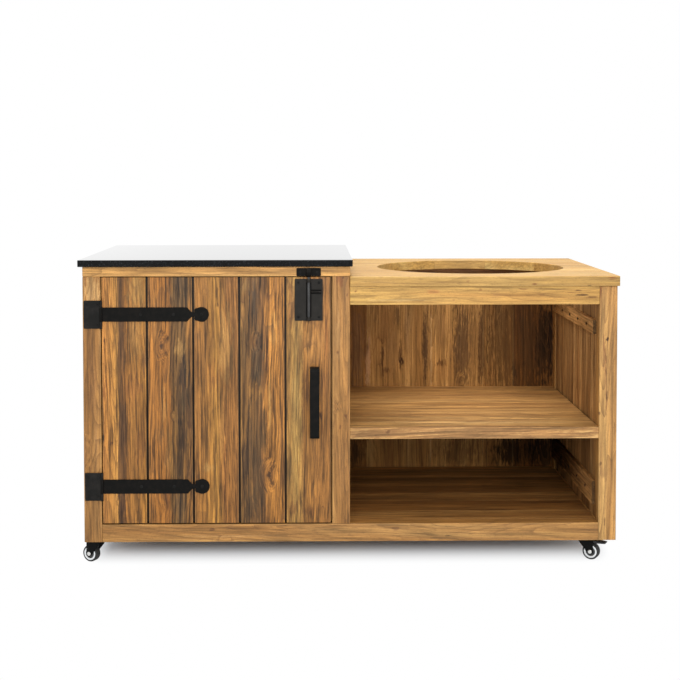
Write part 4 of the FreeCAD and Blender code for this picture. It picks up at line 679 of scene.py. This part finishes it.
boardTones = {  # how light each board of a node is, from 0 to 1, where it isn't left to chance
    "post_front_left": [0.0], "post_front_middle": [0.25], "post_front_right": [0.38],
    "bottom_rail_front": [0.05], "apron_front": [0.85], "sub_top": [0.85],
    "side_planks": [0.5, 0.7, 0.4, 0.6, 0.8, 0.5, 0.9, 0.7, 1.0, 0.5, 0.75, 0.3],
    "grill_shelf": [1.0, 0.9, 0.8, 0.65, 0.5, 0.4, 0.3],
    "floor_boards": [0.15, 0.3, 0.0, 0.25, 0.1],
    "back_planks": [0.4, 0.7, 0.2, 0.6, 0.5, 0.8, 0.3, 0.6] + [0.15, 0.55, 0.8, 0.35, 0.0],
}
overreach = 0.45 * mm  # boards that lie side by side reach a little further, so that no light comes through
for material, slot, ease, row, nodes in woodRows:
    for node in nodes:
        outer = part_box(node)
        boxes = solidBoxes(node)
        tones = boardTones.get(node, [None] * len(boxes))
        parts = []
        for k, (low, high) in enumerate(boxes):
            if row is not None:
                low[row] = max(low[row] - overreach, outer[0][row])
                high[row] = min(high[row] + overreach, outer[1][row])
            parts.append(board(low, high, ease * mm, tones[k % len(tones)]))
        makePiece("teak_" + node, parts, material, "door" if node == "door_ledges" else "frame", [node])
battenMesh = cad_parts["wall_battens"].data
battenMesh.materials.clear()
battenMesh.materials.append(battenTeak)
print("boards made")

doorSizes = {"gap": 6, "lap": 8, "clear": 0.5, "frontEase": 1.5, "planks": 5}


def doorPlank(index):
    # The plank's outline seen from above, with its lap and its rebate, carried up the door.
    low, high = (np.array(corner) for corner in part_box(f"door_plank_{index + 1}"))
    last = index == doorSizes["planks"] - 1
    x0, y0, y1 = low[0], low[1], high[1]
    x1 = high[0] - (0 if last else (doorSizes["gap"] + doorSizes["lap"]) * mm)
    half = (y0 + y1) / 2
    cut = (doorSizes["lap"] + doorSizes["clear"]) * mm
    ease, small = doorSizes["frontEase"] * mm, 0.4 * mm
    points = [(x0, y0, ease), (x1, y0, ease)]
    if not last:
        points += [(x1, half, small), (high[0], half, small)]
    points.append((high[0], y1, 1 * mm))
    if index:
        points += [(x0 + cut, y1, 1 * mm), (x0 + cut, half, small), (x0, half, small)]
    else:
        points.append((x0, y1, 1 * mm))
    outline, wear = roundedOutline([p[:2] for p in points], [p[2] for p in points], steps=3, far=1.5 * mm)
    part = extrude(outline, 2, low[2], high[2] - low[2], 1.5 * mm)
    # The sides of the gap and the lap behind it get near-black painted shade.
    endGrainAndGapShade = ((outline[:, 0] < x0 + 0.1 * mm) | (outline[:, 0] > x1 - 0.1 * mm)) & (outline[:, 1] > y0 + 1 * mm)
    return finishBoard(part, 2, wear, 0.9, lambda points: (points[:, 0] - x0) / (x1 - x0), 0.95 * endGrainAndGapShade)


for index in range(doorSizes["planks"]):
    slot = "teak_door_light" if index % 2 == 0 else "teak_door_dark"
    makePiece(f"teak_door_plank_{index + 1}", [doorPlank(index)], doorTeak[index], "door",
              [f"door_plank_{index + 1}"])
print("door planks made")

hole = {"centre": (0.401, 0.012), "radius": 0.300, "ease": 2 * mm, "edge": 1.5 * mm, "stations": (90, 60),
        "shares": [112, 121, 108, 117, 124, 106, 112], "gap": 1 * mm}


def holedBoard(low, high, axis, side):
    # Part of a board beside the round hole. Upright sections follow each other along the axis and
    # end on the circle. The hole cuts the inner boards in two, with sections along y, and takes a
    # bite from the inner edge of the outer boards, with sections along x.
    other = 1 - axis
    ends, amounts = endInsets(high[axis] - low[axis], hole["edge"])
    middle = np.linspace(0, high[axis] - low[axis], hole["stations"][axis])[1:-1]
    stations = low[axis] + np.r_[ends[:4], middle, ends[4:]]
    amounts = np.r_[amounts[:4], np.zeros(len(middle)), amounts[4:]]
    reach = np.sqrt(np.maximum(hole["radius"] ** 2 - (stations - hole["centre"][axis]) ** 2, 0))
    edge = hole["centre"][other] + side * reach
    start = np.maximum(low[other], edge) if side > 0 else np.full(len(edge), low[other])
    end = np.minimum(high[other], edge) if side < 0 else np.full(len(edge), high[other])
    outline, wear = rectangle(0, low[2], 1, high[2], hole["ease"], 3, far=2.5 * mm)
    shapes = inset(outline, amounts)
    shapes[..., 0] += np.where(outline[:, 0] < 0.5, start[:, None], end[:, None] - 1)
    return ringSolid(stand(shapes, axis, stations)), wear


low, high = (np.array(corner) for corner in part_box("kamado_top"))
edges = low[1] + np.cumsum([0] + hole["shares"]) / sum(hole["shares"]) * (high[1] - low[1])
last = len(hole["shares"]) - 1
topParts = []
for index in range(last + 1):
    low[1] = edges[index] + (hole["gap"] / 2 if index else 0)
    high[1] = edges[index + 1] - (hole["gap"] / 2 if index < last else 0)
    tone = rng.uniform(0.3, 0.9)
    sides = {0: [-1], last: [1]}.get(index, [-1, 1])  # the hole's sides that the board lies on
    for side in sides:
        part, wear = holedBoard(low, high, len(sides) - 1, side)
        part = finishBoard(part, 0, wear, tone)
        if len(sides) == 2:
            part["endGrainAndGapShade"] = part["endGrainAndGapShade"] * 0
        topParts.append(part)
makePiece("teak_kamado_top", topParts, topTeak, "frame", ["kamado_top"])

low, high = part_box("granite_top")
outline = rectangle(low[1], low[2], high[1], high[2], 2 * mm, 5)[0]
slab = extrude(outline, 0, low[0], high[0] - low[0], 2 * mm, steps=5)
makePiece("granite_slab", [slab], blackStone, "frame", ["granite_top"])
print("tops made")


# Ironwork.

front = -0.378  # the front face of the frame and the door, in metres
hinge = {"x": -0.7325, "levels": (0.749, 0.237), "sheet": 2.5, "strap": 42, "shoulder": 256.9,
         "neck": 271.9, "neckHalf": 6.0, "hollow": 3, "head": 22, "headX": 295.9, "headTurn": 122,
         "screws": (115.6, 213.2, 295.9), "plateHeight": 82, "plateReach": 50.5, "pinY": -4.3, "knuckle": 4.0,
         "relief": 4.6, "clear": 0.3, "screwInset": 11, "screwNear": 5.5, "screwHead": 4.6, "headBack": [
             (-21.0, 6.0), (-21.0, 12.0), (-20.6, 14.2), (-19.4, 16.2), (-17.4, 17.7), (-15.0, 18.2)]}


def strapOutline():
    # Straight sides, a hollow taper down to the neck, and a round head with a flat back.
    half = hinge["strap"] / 2
    share = np.linspace(0, 1, 9)
    start = hinge["shoulder"] - hinge["hollow"]
    taperX = start + (hinge["neck"] - start) * share
    taperY = hinge["neckHalf"] + (half - hinge["neckHalf"]) * (1 - np.sin(share * math.pi / 2))
    angle = np.radians(np.linspace(hinge["headTurn"], -hinge["headTurn"], 33))
    headX, headY = hinge["headX"] + hinge["head"] * np.cos(angle), hinge["head"] * np.sin(angle)
    headBack = np.array(hinge["headBack"]) + [hinge["headX"], 0]
    upper = np.concatenate([np.column_stack([taperX, taperY]), headBack])
    outline = np.concatenate([[(hinge["relief"], half)], upper, np.column_stack([headX, headY]),
                              (upper * [1, -1])[::-1], [(hinge["relief"], -half)]])
    return outline[::-1] * mm


def barrel(radius, x, y, z0, z1, ease=0.3):
    # An upright knuckle with eased ends, turned about its own axis.
    profile = [(radius - ease, z0), (radius, z0 + ease), (radius, z1 - ease), (radius - ease, z1)]
    return lathe(np.array(profile) * mm, 2, (x, y, 0), 28)


def frontPlate(outline, z, sheet, ease=0.6):
    # A sheet-metal plate on the front of the table, with its front edge eased.
    thick = sheet * mm
    angle = np.linspace(0, math.pi / 2, 4)
    depths = np.r_[0, thick - ease * mm + ease * mm * np.sin(angle)]
    draws = np.r_[0, ease * mm * (1 - np.cos(angle))]
    return ringSolid(stand(inset(outline, draws) + [0, z], 1, front - depths))


def platePatch(x0, x1, z0, z1, level, sheet, radius=3.0, **corner):
    # A rectangular plate on the front of the table, its sides in mm from x = 0 and from its level.
    return frontPlate(rectangle(x0 * mm, z0 * mm, x1 * mm, z1 * mm, radius * mm, **corner)[0], level, sheet)


def screwHead(place, axis, sign, radius=4.0, height=1.2, turn=0.0):
    # A low pan head: a dome with a cross recess sunk in its middle.
    share = np.linspace(1, 0.06, 12)
    dome = height * (0.35 + 0.65 * np.sqrt(1 - (share * 0.98) ** 2))
    profile = np.concatenate([[(radius, 0.0)], np.column_stack([radius * share, dome])]) * mm

    def recess(r, angle):
        # Two crossed grooves, deepest along their middles and closed at their ends.
        u, v = np.abs(r * np.cos(angle + turn)), np.abs(r * np.sin(angle + turn))
        width, reach = 0.62 * mm, 2.2 * mm
        arm = np.minimum(np.minimum(u, v) / width, 1)
        depth = np.clip(1 - arm ** 3, 0, 1) * np.clip((reach - np.maximum(u, v)) / (0.5 * mm), 0, 1)
        return -0.75 * height * mm * depth * (r < radius * mm * 0.95)

    part = lathe(profile, axis, (0, 0, 0), 32, relief=recess)
    flip = np.ones(3)
    flip[axis] = sign
    part = {**part, "points": part["points"] * flip + np.asarray(place)}
    return part if sign > 0 else turnedOver(part)


# Two strap hinges: a plate with two knuckles on the post, a strap with the third one on the door,
# and the heads of the pin.
plates, straps, pins, strapScrews, frameScrews = [], [], [], [], []
for level in hinge["levels"]:
    half, strapHalf = hinge["plateHeight"] / 2, hinge["strap"] / 2
    notch = strapHalf + hinge["clear"]
    x, y = hinge["x"], front + hinge["pinY"] * mm
    reach, relief = hinge["plateReach"], hinge["relief"]
    plateCorners = [(-reach, -half), (-relief, -half), (0, -half), (0, -notch), (-relief, -notch),
                    (-relief, notch), (0, notch), (0, half), (-reach, half)]
    outline = roundedOutline(np.array(plateCorners) * mm, np.array([2, 0.1] + [0.2] * 6 + [2]) * mm, 3,
                             0.1 * mm, 0.2 * mm)[0]
    plates.append(frontPlate(outline + [x, 0], level, hinge["sheet"]))
    z = level / mm
    plates += [barrel(hinge["knuckle"], x, y, z + a, z + b) for a, b in ((-half, -notch), (notch, half))]
    straps.append(frontPlate(strapOutline() + [x, 0], level, hinge["sheet"]))
    straps.append(barrel(hinge["knuckle"], x, y, z - strapHalf, z + strapHalf))
    straps.append(platePatch(x / mm, x / mm + relief + 0.5, -strapHalf, strapHalf, level, hinge["sheet"], 0.2,
                             steps=2, near=0.1 * mm, far=0.2 * mm))
    dome = np.array([(3.9, 0), (3.9, 0.5), (3.4, 1.0), (2.2, 1.4), (0.6, 1.5)]) * mm
    pins += [lathe(dome * [1, sign], 2, (x, y, level + sign * half * mm), 28) for sign in (1, -1)]
    faceY = front - hinge["sheet"] * mm
    for along in hinge["screws"]:
        place = (x + along * mm, faceY, level)
        strapScrews.append(screwHead(place, 1, -1, hinge["screwHead"], turn=along))
    for side in (-reach + hinge["screwInset"], -relief - hinge["screwNear"]):
        for up in (-1, 1):
            place = (x + side * mm, faceY, level + up * (half - hinge["screwInset"]) * mm)
            frameScrews.append(screwHead(place, 1, -1, turn=side + up))
makePiece("hinge_plates_iron", plates, plateBlack, "frame", ["hinge_plates"])
makePiece("hinge_straps_iron", straps, ironBlack, "door", ["hinge_straps"])
makePiece("hinge_pin_heads", pins, ironBlack, "frame", ["hinge_pins"])

# The barrel bolt: a sheet on the door with a guide at each end, and the rod with its arm.
bolt = {"x": -120, "plateTop": 853.5, "plateHeight": 124, "plateHalf": 41.5, "sheet": 2.0, "rod": 4.0,
        "rodY": -6.4, "guide": 10, "wall": 2.0, "clear": 0.4, "keeperZ": 861.5, "keeperHeight": 24,
        "keeperHalf": 36, "loop": 5.0, "foot": 729.5, "tip": 859.5, "armZ": 815.5, "arm": 37,
        "screwInset": 11, "shadowHalf": 7.5, "shadowEnds": (11, 113), "armShadowHalf": 6}
boltX = bolt["x"] * mm
rodPlace = np.array([boltX, front + bolt["rodY"] * mm, 0])
plateMid = (bolt["plateTop"] - bolt["plateHeight"] / 2) * mm
half = bolt["plateHeight"] / 2
boltParts = [platePatch(bolt["x"] - bolt["plateHalf"], bolt["x"] + bolt["plateHalf"], -half, half, plateMid,
                        bolt["sheet"])]
seat = 0.1 - bolt["sheet"]  # the guides and the loop start just inside the sheet's face
inner, outer = bolt["rod"] + bolt["clear"], bolt["rod"] + bolt["clear"] + bolt["wall"]
arch = np.linspace(0, math.pi, 17)
over = np.column_stack([outer * np.cos(arch), bolt["rodY"] - outer * np.sin(arch)])
under = np.column_stack([inner * np.cos(arch), bolt["rodY"] - inner * np.sin(arch)])[::-1]
feet = np.array([(-outer, seat), (-inner, seat), (inner, seat), (outer, seat)])
guideOutline = np.concatenate([over, feet[:2], under, feet[2:]]) * mm
for z0 in (bolt["plateTop"] - bolt["guide"], bolt["plateTop"] - bolt["plateHeight"]):
    boltParts.append(extrude(guideOutline, 2, z0 * mm, bolt["guide"] * mm, 0.4 * mm, (boltX, front, 0)))
makePiece("bolt_plate_iron", boltParts, boltBlack, "door", ["bolt_plate"])

# Near-black strips on the plate beside the rod and under its arm: painted shadow of the rod and the arm.
behind = front - bolt["sheet"] * mm
wide, tall = bolt["shadowHalf"], bolt["armShadowHalf"]
shadowTop, shadowFoot = (bolt["plateTop"] - down for down in bolt["shadowEnds"])
shadowSides = ((-wide, wide, shadowFoot, shadowTop),
              (wide + 0.1, bolt["arm"], bolt["armZ"] - tall, bolt["armZ"] + tall))
shadowStrips = [board((boltX + x0 * mm, behind - 0.3 * mm, z0 * mm), (boltX + x1 * mm, behind, z1 * mm), 0.1 * mm)
          for x0, x1, z0, z1 in shadowSides]
makePiece("bolt_painted_shadow", shadowStrips, ironBlack, "door")

screwX = (bolt["plateHalf"] - bolt["screwInset"]) * mm
screwZ = bolt["plateTop"] - bolt["screwInset"], bolt["plateTop"] - bolt["plateHeight"] + bolt["screwInset"]
for side in (-1, 1):
    for z in screwZ:
        strapScrews.append(screwHead((boltX + side * screwX, behind, z * mm), 1, -1, turn=z * side))
makePiece("door_screw_heads", strapScrews, screwBlack, "door", ["door_screws"])

r, z0, z1 = bolt["rod"], bolt["foot"], bolt["tip"]
rodProfile = [(r - 0.8, z0), (r, z0 + 0.8), (r, z1 - 1.5), (r - 0.6, z1 - 0.5), (r - 1.6, z1)]
armProfile = [(1.9, 0), (1.9, 28), (2.5, 30), (2.7, 33), (2.5, 35.5), (1.6, bolt["arm"] - 0.2)]
rodShape = lathe(np.array(rodProfile) * mm, 2, rodPlace, 32)
armShape = lathe(np.array(armProfile) * mm, 0, rodPlace + [0, 0, bolt["armZ"] * mm], 24)
makePiece("bolt_rod_iron", [rodShape], rodSteelAndHighlight, "bolt", ["bolt_rod"])
makePiece("bolt_arm_iron", [armShape], boltBlack, "bolt")

# The keeper above the door: a plate with a square loop that the rod stands in.
half, height = bolt["keeperHalf"], bolt["keeperHeight"]
keeperMid = (bolt["keeperZ"] + height / 2) * mm
keeperParts = [platePatch(bolt["x"] - half, bolt["x"] + half, -height / 2, height / 2, keeperMid,
                          bolt["sheet"])]
loop, wall = bolt["loop"], bolt["wall"]
deep = bolt["rodY"] - loop
shoulders = np.array([0.1, 2.5, 2.5, 0.1]) * mm
hollow = np.array([0.1, 0.5, 0.5, 0.1]) * mm
outer, peak = loop + wall, deep - wall
outside = np.array([(outer, seat), (outer, peak), (-outer, peak), (-outer, seat)]) * mm
inside = np.array([(-loop, seat), (-loop, deep), (loop, deep), (loop, seat)]) * mm
outside = roundedOutline(outside, shoulders, 5, 0.05 * mm, 0.1 * mm)[0]
inside = roundedOutline(inside, hollow, 3, 0.05 * mm, 0.1 * mm)[0]
loopOutline = np.concatenate([outside[2:-2], inside[2:-2]])
keeperParts.append(extrude(loopOutline, 2, bolt["keeperZ"] * mm, height * mm, 0, (boltX, front, 0)))
makePiece("bolt_keeper_iron", keeperParts, ironBlack, "frame", ["bolt_keeper"])
for side in (-1, 1):
    place = (boltX + side * (half - bolt["screwInset"]) * mm, behind, keeperMid)
    frameScrews.append(screwHead(place, 1, -1, turn=side))

pull = {"x": -0.103, "z0": 383, "z1": 593, "reach": 34, "bar": 5, "width": 28, "bend": 9, "edge": 0.8}


def pullHandle():
    # A flat bar's section follows a path out from the door, up, and back, with round bends.
    middle = pull["reach"] - pull["bar"] / 2
    ends = pull["bar"] / 2
    bends = np.array([0.01, pull["bend"], pull["bend"], 0.01]) * mm
    path, _ = rectangle(0, (pull["z0"] + ends) * mm, -middle * mm, (pull["z1"] - ends) * mm, bends, 8,
                        0.01 * mm, 0.02 * mm)
    path = path.reshape(4, -1, 2)
    path = np.concatenate([path[0, -1:], path[1, 1:-1], path[2, 1:-1], path[3, :1]])
    path[0], path[-1] = (0, (pull["z0"] + ends) * mm), (0, (pull["z1"] - ends) * mm)
    along = unit(np.gradient(path, axis=0))
    square = np.stack([along[:, 1], -along[:, 0]], 1)
    a, b = pull["width"] / 2 * mm, pull["bar"] / 2 * mm
    section, _ = rectangle(-a, -b, a, b, pull["edge"] * mm, 3, 0.3 * mm, 1 * mm)
    rings = np.zeros((len(path), len(section), 3))
    rings[..., 0] = section[None, :, 0] + pull["x"]
    rings[..., 1] = path[:, :1] + square[:, :1] * section[None, :, 1] + front
    rings[..., 2] = path[:, 1:] + square[:, 1:] * section[None, :, 1]
    return ringSolid(rings)


makePiece("pull_handle_iron", [pullHandle()], ironBlack, "door", ["pull_handle"])
print("ironwork made")


# Casters.

caster = {"swivels": {"front_left": (-0.755, -0.336, 154), "front_right": (0.714, -0.318, -29.5),
                      "rear_left": (-0.755, 0.360, 65), "rear_right": (0.714, 0.342, 200)},
          "top": 70, "plate": 62, "sheet": 2.5, "race": 17, "raceHeight": 3.5, "trail": 21, "axleZ": 25,
          "legs": 12.5, "fork": 2.5, "frontX": -15, "boss": 9, "wheel": 25, "width": 22, "screws": 25,
          "pivot": 25, "pivotDrop": 13, "reach": 67}
axlePlace = np.array([caster["trail"], 0, caster["axleZ"]]) * mm
legOut = caster["legs"] + caster["fork"]


def casterPlate():
    # A sheet with round corners, the raceway turned under it and the kingpin's riveted end.
    half, bottom = caster["plate"] / 2 * mm, caster["top"] - caster["sheet"]
    outline = rectangle(-half, -half, half, half, 5 * mm)[0]
    sheet = extrude(outline, 2, bottom * mm, caster["sheet"] * mm, 0.5 * mm)
    r, h = caster["race"], caster["raceHeight"]
    raceway = [(r + 2, bottom), (r + 1, bottom - 0.6), (r, bottom - h + 0.8), (r - 0.8, bottom - h),
               (5, bottom - h)]
    crown = bottom - h - caster["fork"]
    kingpin = [(5, crown + 2.5), (5, crown), (8, crown), (7.6, crown - 1), (6, crown - 1.8), (1, crown - 2)]
    return [sheet, lathe(np.array(raceway) * mm, 2, around=48), lathe(np.array(kingpin) * mm, 2, around=32)]


def casterFork():
    # A pressed steel fork: a U-shaped section whose legs grow longer along the trail
    # and end in a round boss at the axle.
    top = caster["top"] - caster["sheet"] - caster["raceHeight"]
    axleZ, trail, boss = caster["axleZ"], caster["trail"], caster["boss"]
    x0, x1 = caster["frontX"], trail + boss
    share = (1 - np.cos(np.linspace(0, math.pi, 34))) / 2
    stations = x0 + (x1 - x0) * share
    slope = np.interp(stations, [x0, x0 + 3, trail - 4], [top - 9, top - 13, axleZ - boss + 1.5])
    heel = axleZ - np.sqrt(np.maximum(boss ** 2 - (stations - trail) ** 2, 0))
    foot = np.where(stations < trail - 4, slope, heel)

    def arch(half, radius, peak):
        # From the left foot up a leg, round to the crown, and the same down to the right foot.
        bend = np.linspace(0, math.pi / 2, 5)
        corner = np.column_stack([1 - np.cos(bend), np.sin(bend) - 1]) * radius + [-half, peak]
        leg = np.concatenate([[(-half, 0)], corner])
        return np.concatenate([leg, (leg * [-1, 1])[::-1]])

    section = np.concatenate([arch(legOut, 4, top), arch(caster["legs"], 1.5, top - caster["fork"])[::-1]])
    shapes = np.repeat(section[None], len(stations), 0)
    shapes[..., 1] = np.where(section[:, 1] == 0, foot[:, None], section[:, 1])
    disc = [(19.5, top - 2.5), (20, top - 2), (20, top - 0.6), (19.4, top)]
    return [ringSolid(stand(shapes * mm, 0, stations * mm)), lathe(np.array(disc) * mm, 2, around=48)]


def casterAxle():
    # A pin through both legs, with a low dome at each end.
    dome = np.array([(6, 0), (6, 0.8), (5.2, 1.4), (3.6, 1.9), (0.8, 2.0)]) + [0, legOut]
    ends = [lathe(dome * [mm, sign * mm], 1, axlePlace, 32) for sign in (-1, 1)]
    return ends + [lathe(np.array([(3, -legOut), (3, legOut)]) * mm, 1, axlePlace, 24)]


def casterHub():
    # The ring, the dished web with six ribs, and the boss.
    half = caster["width"] / 2
    side = np.array([(3.2, 12.0), (7.4, 12.0), (8.0, 11.4), (8.2, 8.2), (9.5, 8.0), (11, 8.0), (13.4, 8.0),
                     (14.2, 8.2), (14.7, 10.6), (15.3, half), (19.2, half), (20, half - 0.8)])
    profile = np.concatenate([side, side[::-1] * [1, -1]]) * mm

    def ribs(r, angle):
        # Six ribs rise from the web, between the boss and the ring.
        web = np.clip((r - 8.4 * mm) / (1 * mm), 0, 1) * np.clip((14.1 * mm - r) / (1 * mm), 0, 1)
        rib = np.clip(1.6 - np.abs(np.sin(3 * angle)) * 9, 0, 1)
        return web * rib * 1.6 * mm * np.repeat([[1], [-1]], len(side), 0)

    part = lathe(profile, 1, axlePlace, 96, True, ribs)
    part["tone"] = np.repeat(profile[:, 0] > 14.4 * mm, 96).astype(float)
    return [part]


def casterTyre():
    # A band with round shoulders, turned about the axle.
    half, r = caster["width"] / 2, caster["wheel"]
    side = np.array([(20, half - 0.8), (20.2, half), (22, half), (23.4, half - 0.4), (24.4, half - 1.4),
                     (24.9, half - 3), (r, half - 5)])
    profile = np.concatenate([side, side[::-1] * [1, -1]]) * mm
    return [lathe(profile, 1, axlePlace, 72, True)]


def casterPedal():
    # The wedge seen from the side, and low ribs across the end that is stepped on.
    px, pz, reach = caster["pivot"], caster["top"] - caster["pivotDrop"], caster["reach"]
    wedge = np.array([(px - 3, pz + 3), (px - 3, pz - 3), (px + 7.5, pz - 6.1), (reach, pz - 4), (reach, pz),
                      (px + 3, pz + 3)])
    outline = roundedOutline(wedge * mm, [1.5 * mm, 1.5 * mm, 2 * mm, 1.2 * mm, 1.2 * mm, 1 * mm], 3,
                             0.2 * mm, 0.6 * mm)[0]
    parts = [extrude(outline, 1, -12 * mm, 24 * mm, 1.2 * mm)]
    for x in (42, 47, 52, 57, 62):
        level = pz + 3 * (reach - x) / (reach - px - 3) - 0.1
        bar = rectangle(x * mm, (level - 0.8) * mm, (x + 1.8) * mm, (level + 0.5) * mm, 0.3 * mm, 2, 0.1 * mm,
                        0.15 * mm)[0]
        parts.append(extrude(bar, 1, -10 * mm, 20 * mm, 0.3 * mm))
    parts.append(lathe(np.array([(2, -legOut), (2, legOut)]) * mm, 1, (px * mm, 0, pz * mm), 20))
    return parts


for corner, (x, y, heading) in caster["swivels"].items():
    shift = np.array([x, y, 0])
    steel, wheel = "caster_" + corner, "wheel_" + corner
    for name, make, material, slot, body, turn in (
            ("plate", casterPlate, casterBlack, "caster_steel", "frame", 0),
            ("fork", casterFork, casterBlack, "caster_steel", steel, heading),
            ("axle", casterAxle, axleZinc, "axle_steel", steel, heading),
            ("hub", casterHub, hubGrey, "hub_plastic", wheel, heading),
            ("tyre", casterTyre, tyreBlack, "tyre", wheel, heading)):
        parts = [turned(part, turn, shift) for part in make()]
        makePiece(f"wheel_unit_{name}_{corner}", parts, material, body, [f"caster_{name}_{corner}"])
    if corner.endswith("right"):
        parts = [turned(part, heading, shift) for part in casterPedal()]
        makePiece("foot_brake_" + corner, parts, pedalBlack, "pedal_" + corner,
                  ["brake_pedal_" + corner])
    for sx in (-1, 1):
        for sy in (-1, 1):
            place = (x + sx * caster["screws"] * mm, y + sy * caster["screws"] * mm,
                     (caster["top"] - caster["sheet"]) * mm)
            frameScrews.append(screwHead(place, 2, -1, turn=sx + sy * 2))

# The counterbored screws of the two battens on the right wall. Their black heads sit only 2 mm down and fill
# the bore, as painted shade for the dark holes.
battens = {"face": 0.729, "sunk": 0.002, "levels": (0.703, 0.202), "first": -0.234, "pitch": 0.132,
           "holes": 5, "screwHead": 4.7}
for z in battens["levels"]:
    for k in range(battens["holes"]):
        y = battens["first"] + k * battens["pitch"]
        place = (battens["face"] + battens["sunk"], y, z)
        frameScrews.append(screwHead(place, 0, -1, battens["screwHead"], turn=k + z))
makePiece("frame_screw_heads", frameScrews, screwBlack, "frame", ["frame_screws"])
print("casters made")


# Camera, light and floor.

view = {"place": (-0.1120, -4.3385, 1.1734), "pitch": 2.36, "yaw": 0.68, "roll": 0.06, "lens": 71.21,
        "shift": (0.0188, -0.1680)}
camera = bpy.data.cameras.new("camera")
camera.lens, camera.sensor_width, camera.sensor_fit = view["lens"], 36, "HORIZONTAL"
camera.shift_x, camera.shift_y = view["shift"]
cameraObject = bpy.data.objects.new("camera", camera)
cameraObject.location = view["place"]
cameraObject.rotation_euler = [math.radians(a) for a in (90 - view["pitch"], view["roll"], -view["yaw"])]
bpy.context.scene.collection.objects.link(cameraObject)
bpy.context.scene.camera = cameraObject

lamps = {  # place, what it points at, size, watts
    "top": ((0.1, -0.5, 3.6), (0.1, -0.1, 0.5), 3.2, 45),
    "front": ((0.3, -4.5, 2.1), (0.1, 0, 0.45), 2.4, 90),
    "opening": ((0.4, -0.05, 2.6), (0.4, 0, 0.5), 1.2, 26),
}
for name, (place, target, size, watts) in lamps.items():
    light = bpy.data.lights.new(name, "AREA")
    light.shape, light.size, light.energy = "DISK", size, watts
    lamp = bpy.data.objects.new(name, light)
    lamp.location = place
    direction = np.array(target, float) - place
    flat = math.hypot(direction[0], direction[1])
    lamp.rotation_euler = (math.atan2(flat, -direction[2]), 0, math.atan2(-direction[0], direction[1]))
    bpy.context.scene.collection.objects.link(lamp)

# The room is plain white all round.
world = bpy.data.worlds.new("paleStudio")
bpy.context.scene.world = world
world.use_nodes = True
world.node_tree.nodes.clear()
add = partial(addNode, world.node_tree)
add("OutputWorld", {"Surface": add("Background", {"Color": (1, 1, 1, 1), "Strength": 1.0})}, None)

# The paper floor keeps the soft shadow under the table, lifted a little towards white. Away from
# it, rays from the camera and those sent on by a glossy or clear surface see plain white.
floorLook = {"size": 30.0, "halfLength": 0.73, "halfDepth": 0.14, "fadeX": 0.09, "fadeY": 0.25,
             "paper": "#E4EEF9", "lift": 0.02}
floorMesh = bpy.data.meshes.new("studio_floor")
far = floorLook["size"]
floorMesh.from_pydata([(-far, -far, 0), (far, -far, 0), (far, far, 0), (-far, far, 0)], [], [(0, 1, 2, 3)])
floorPaper, add = newMaterial("paleStudioPaper")
place = add("VectorMath", {0: add("TexCoord", out="Object")}, operation="ABSOLUTE")
outside = add("VectorMath", {0: place, 1: (floorLook["halfLength"], floorLook["halfDepth"], 0)},
              operation="SUBTRACT")
outside = add("VectorMath", {0: outside, 1: (0, 0, 0)}, operation="MAXIMUM")
outside = add("VectorMath", {0: outside, 1: (floorLook["fadeX"], floorLook["fadeY"], 1)}, operation="DIVIDE")
away = add("VectorMath", {0: outside}, "Value", operation="LENGTH")
clear = add("MapRange", {"Value": away, "To Min": floorLook["lift"]}, interpolation_type="SMOOTHSTEP")
ray = add("LightPath", out=None).outputs
seen = add("Math", {0: ray["Is Camera Ray"], 1: ray["Is Glossy Ray"]}, operation="MAXIMUM")
seen = add("Math", {0: seen, 1: ray["Is Transmission Ray"]}, operation="MAXIMUM")
paper = add("BsdfPrincipled", {"Base Color": floorLook["paper"], "Roughness": 0.9, "Specular IOR Level": 0.1})
white = add("Emission", {"Color": (1, 1, 1, 1), "Strength": 1.0})
add("OutputMaterial", {"Surface": add("MixShader", {0: add("Math", {0: clear, 1: seen}, operation="MULTIPLY"),
                                                    1: paper, 2: white})}, None)
floorMesh.materials.append(floorPaper)
floorObject = bpy.data.objects.new("studio_floor", floorMesh)
bpy.context.scene.collection.objects.link(floorObject)
bpy.context.scene.view_settings.view_transform = "Standard"
print("stage made")
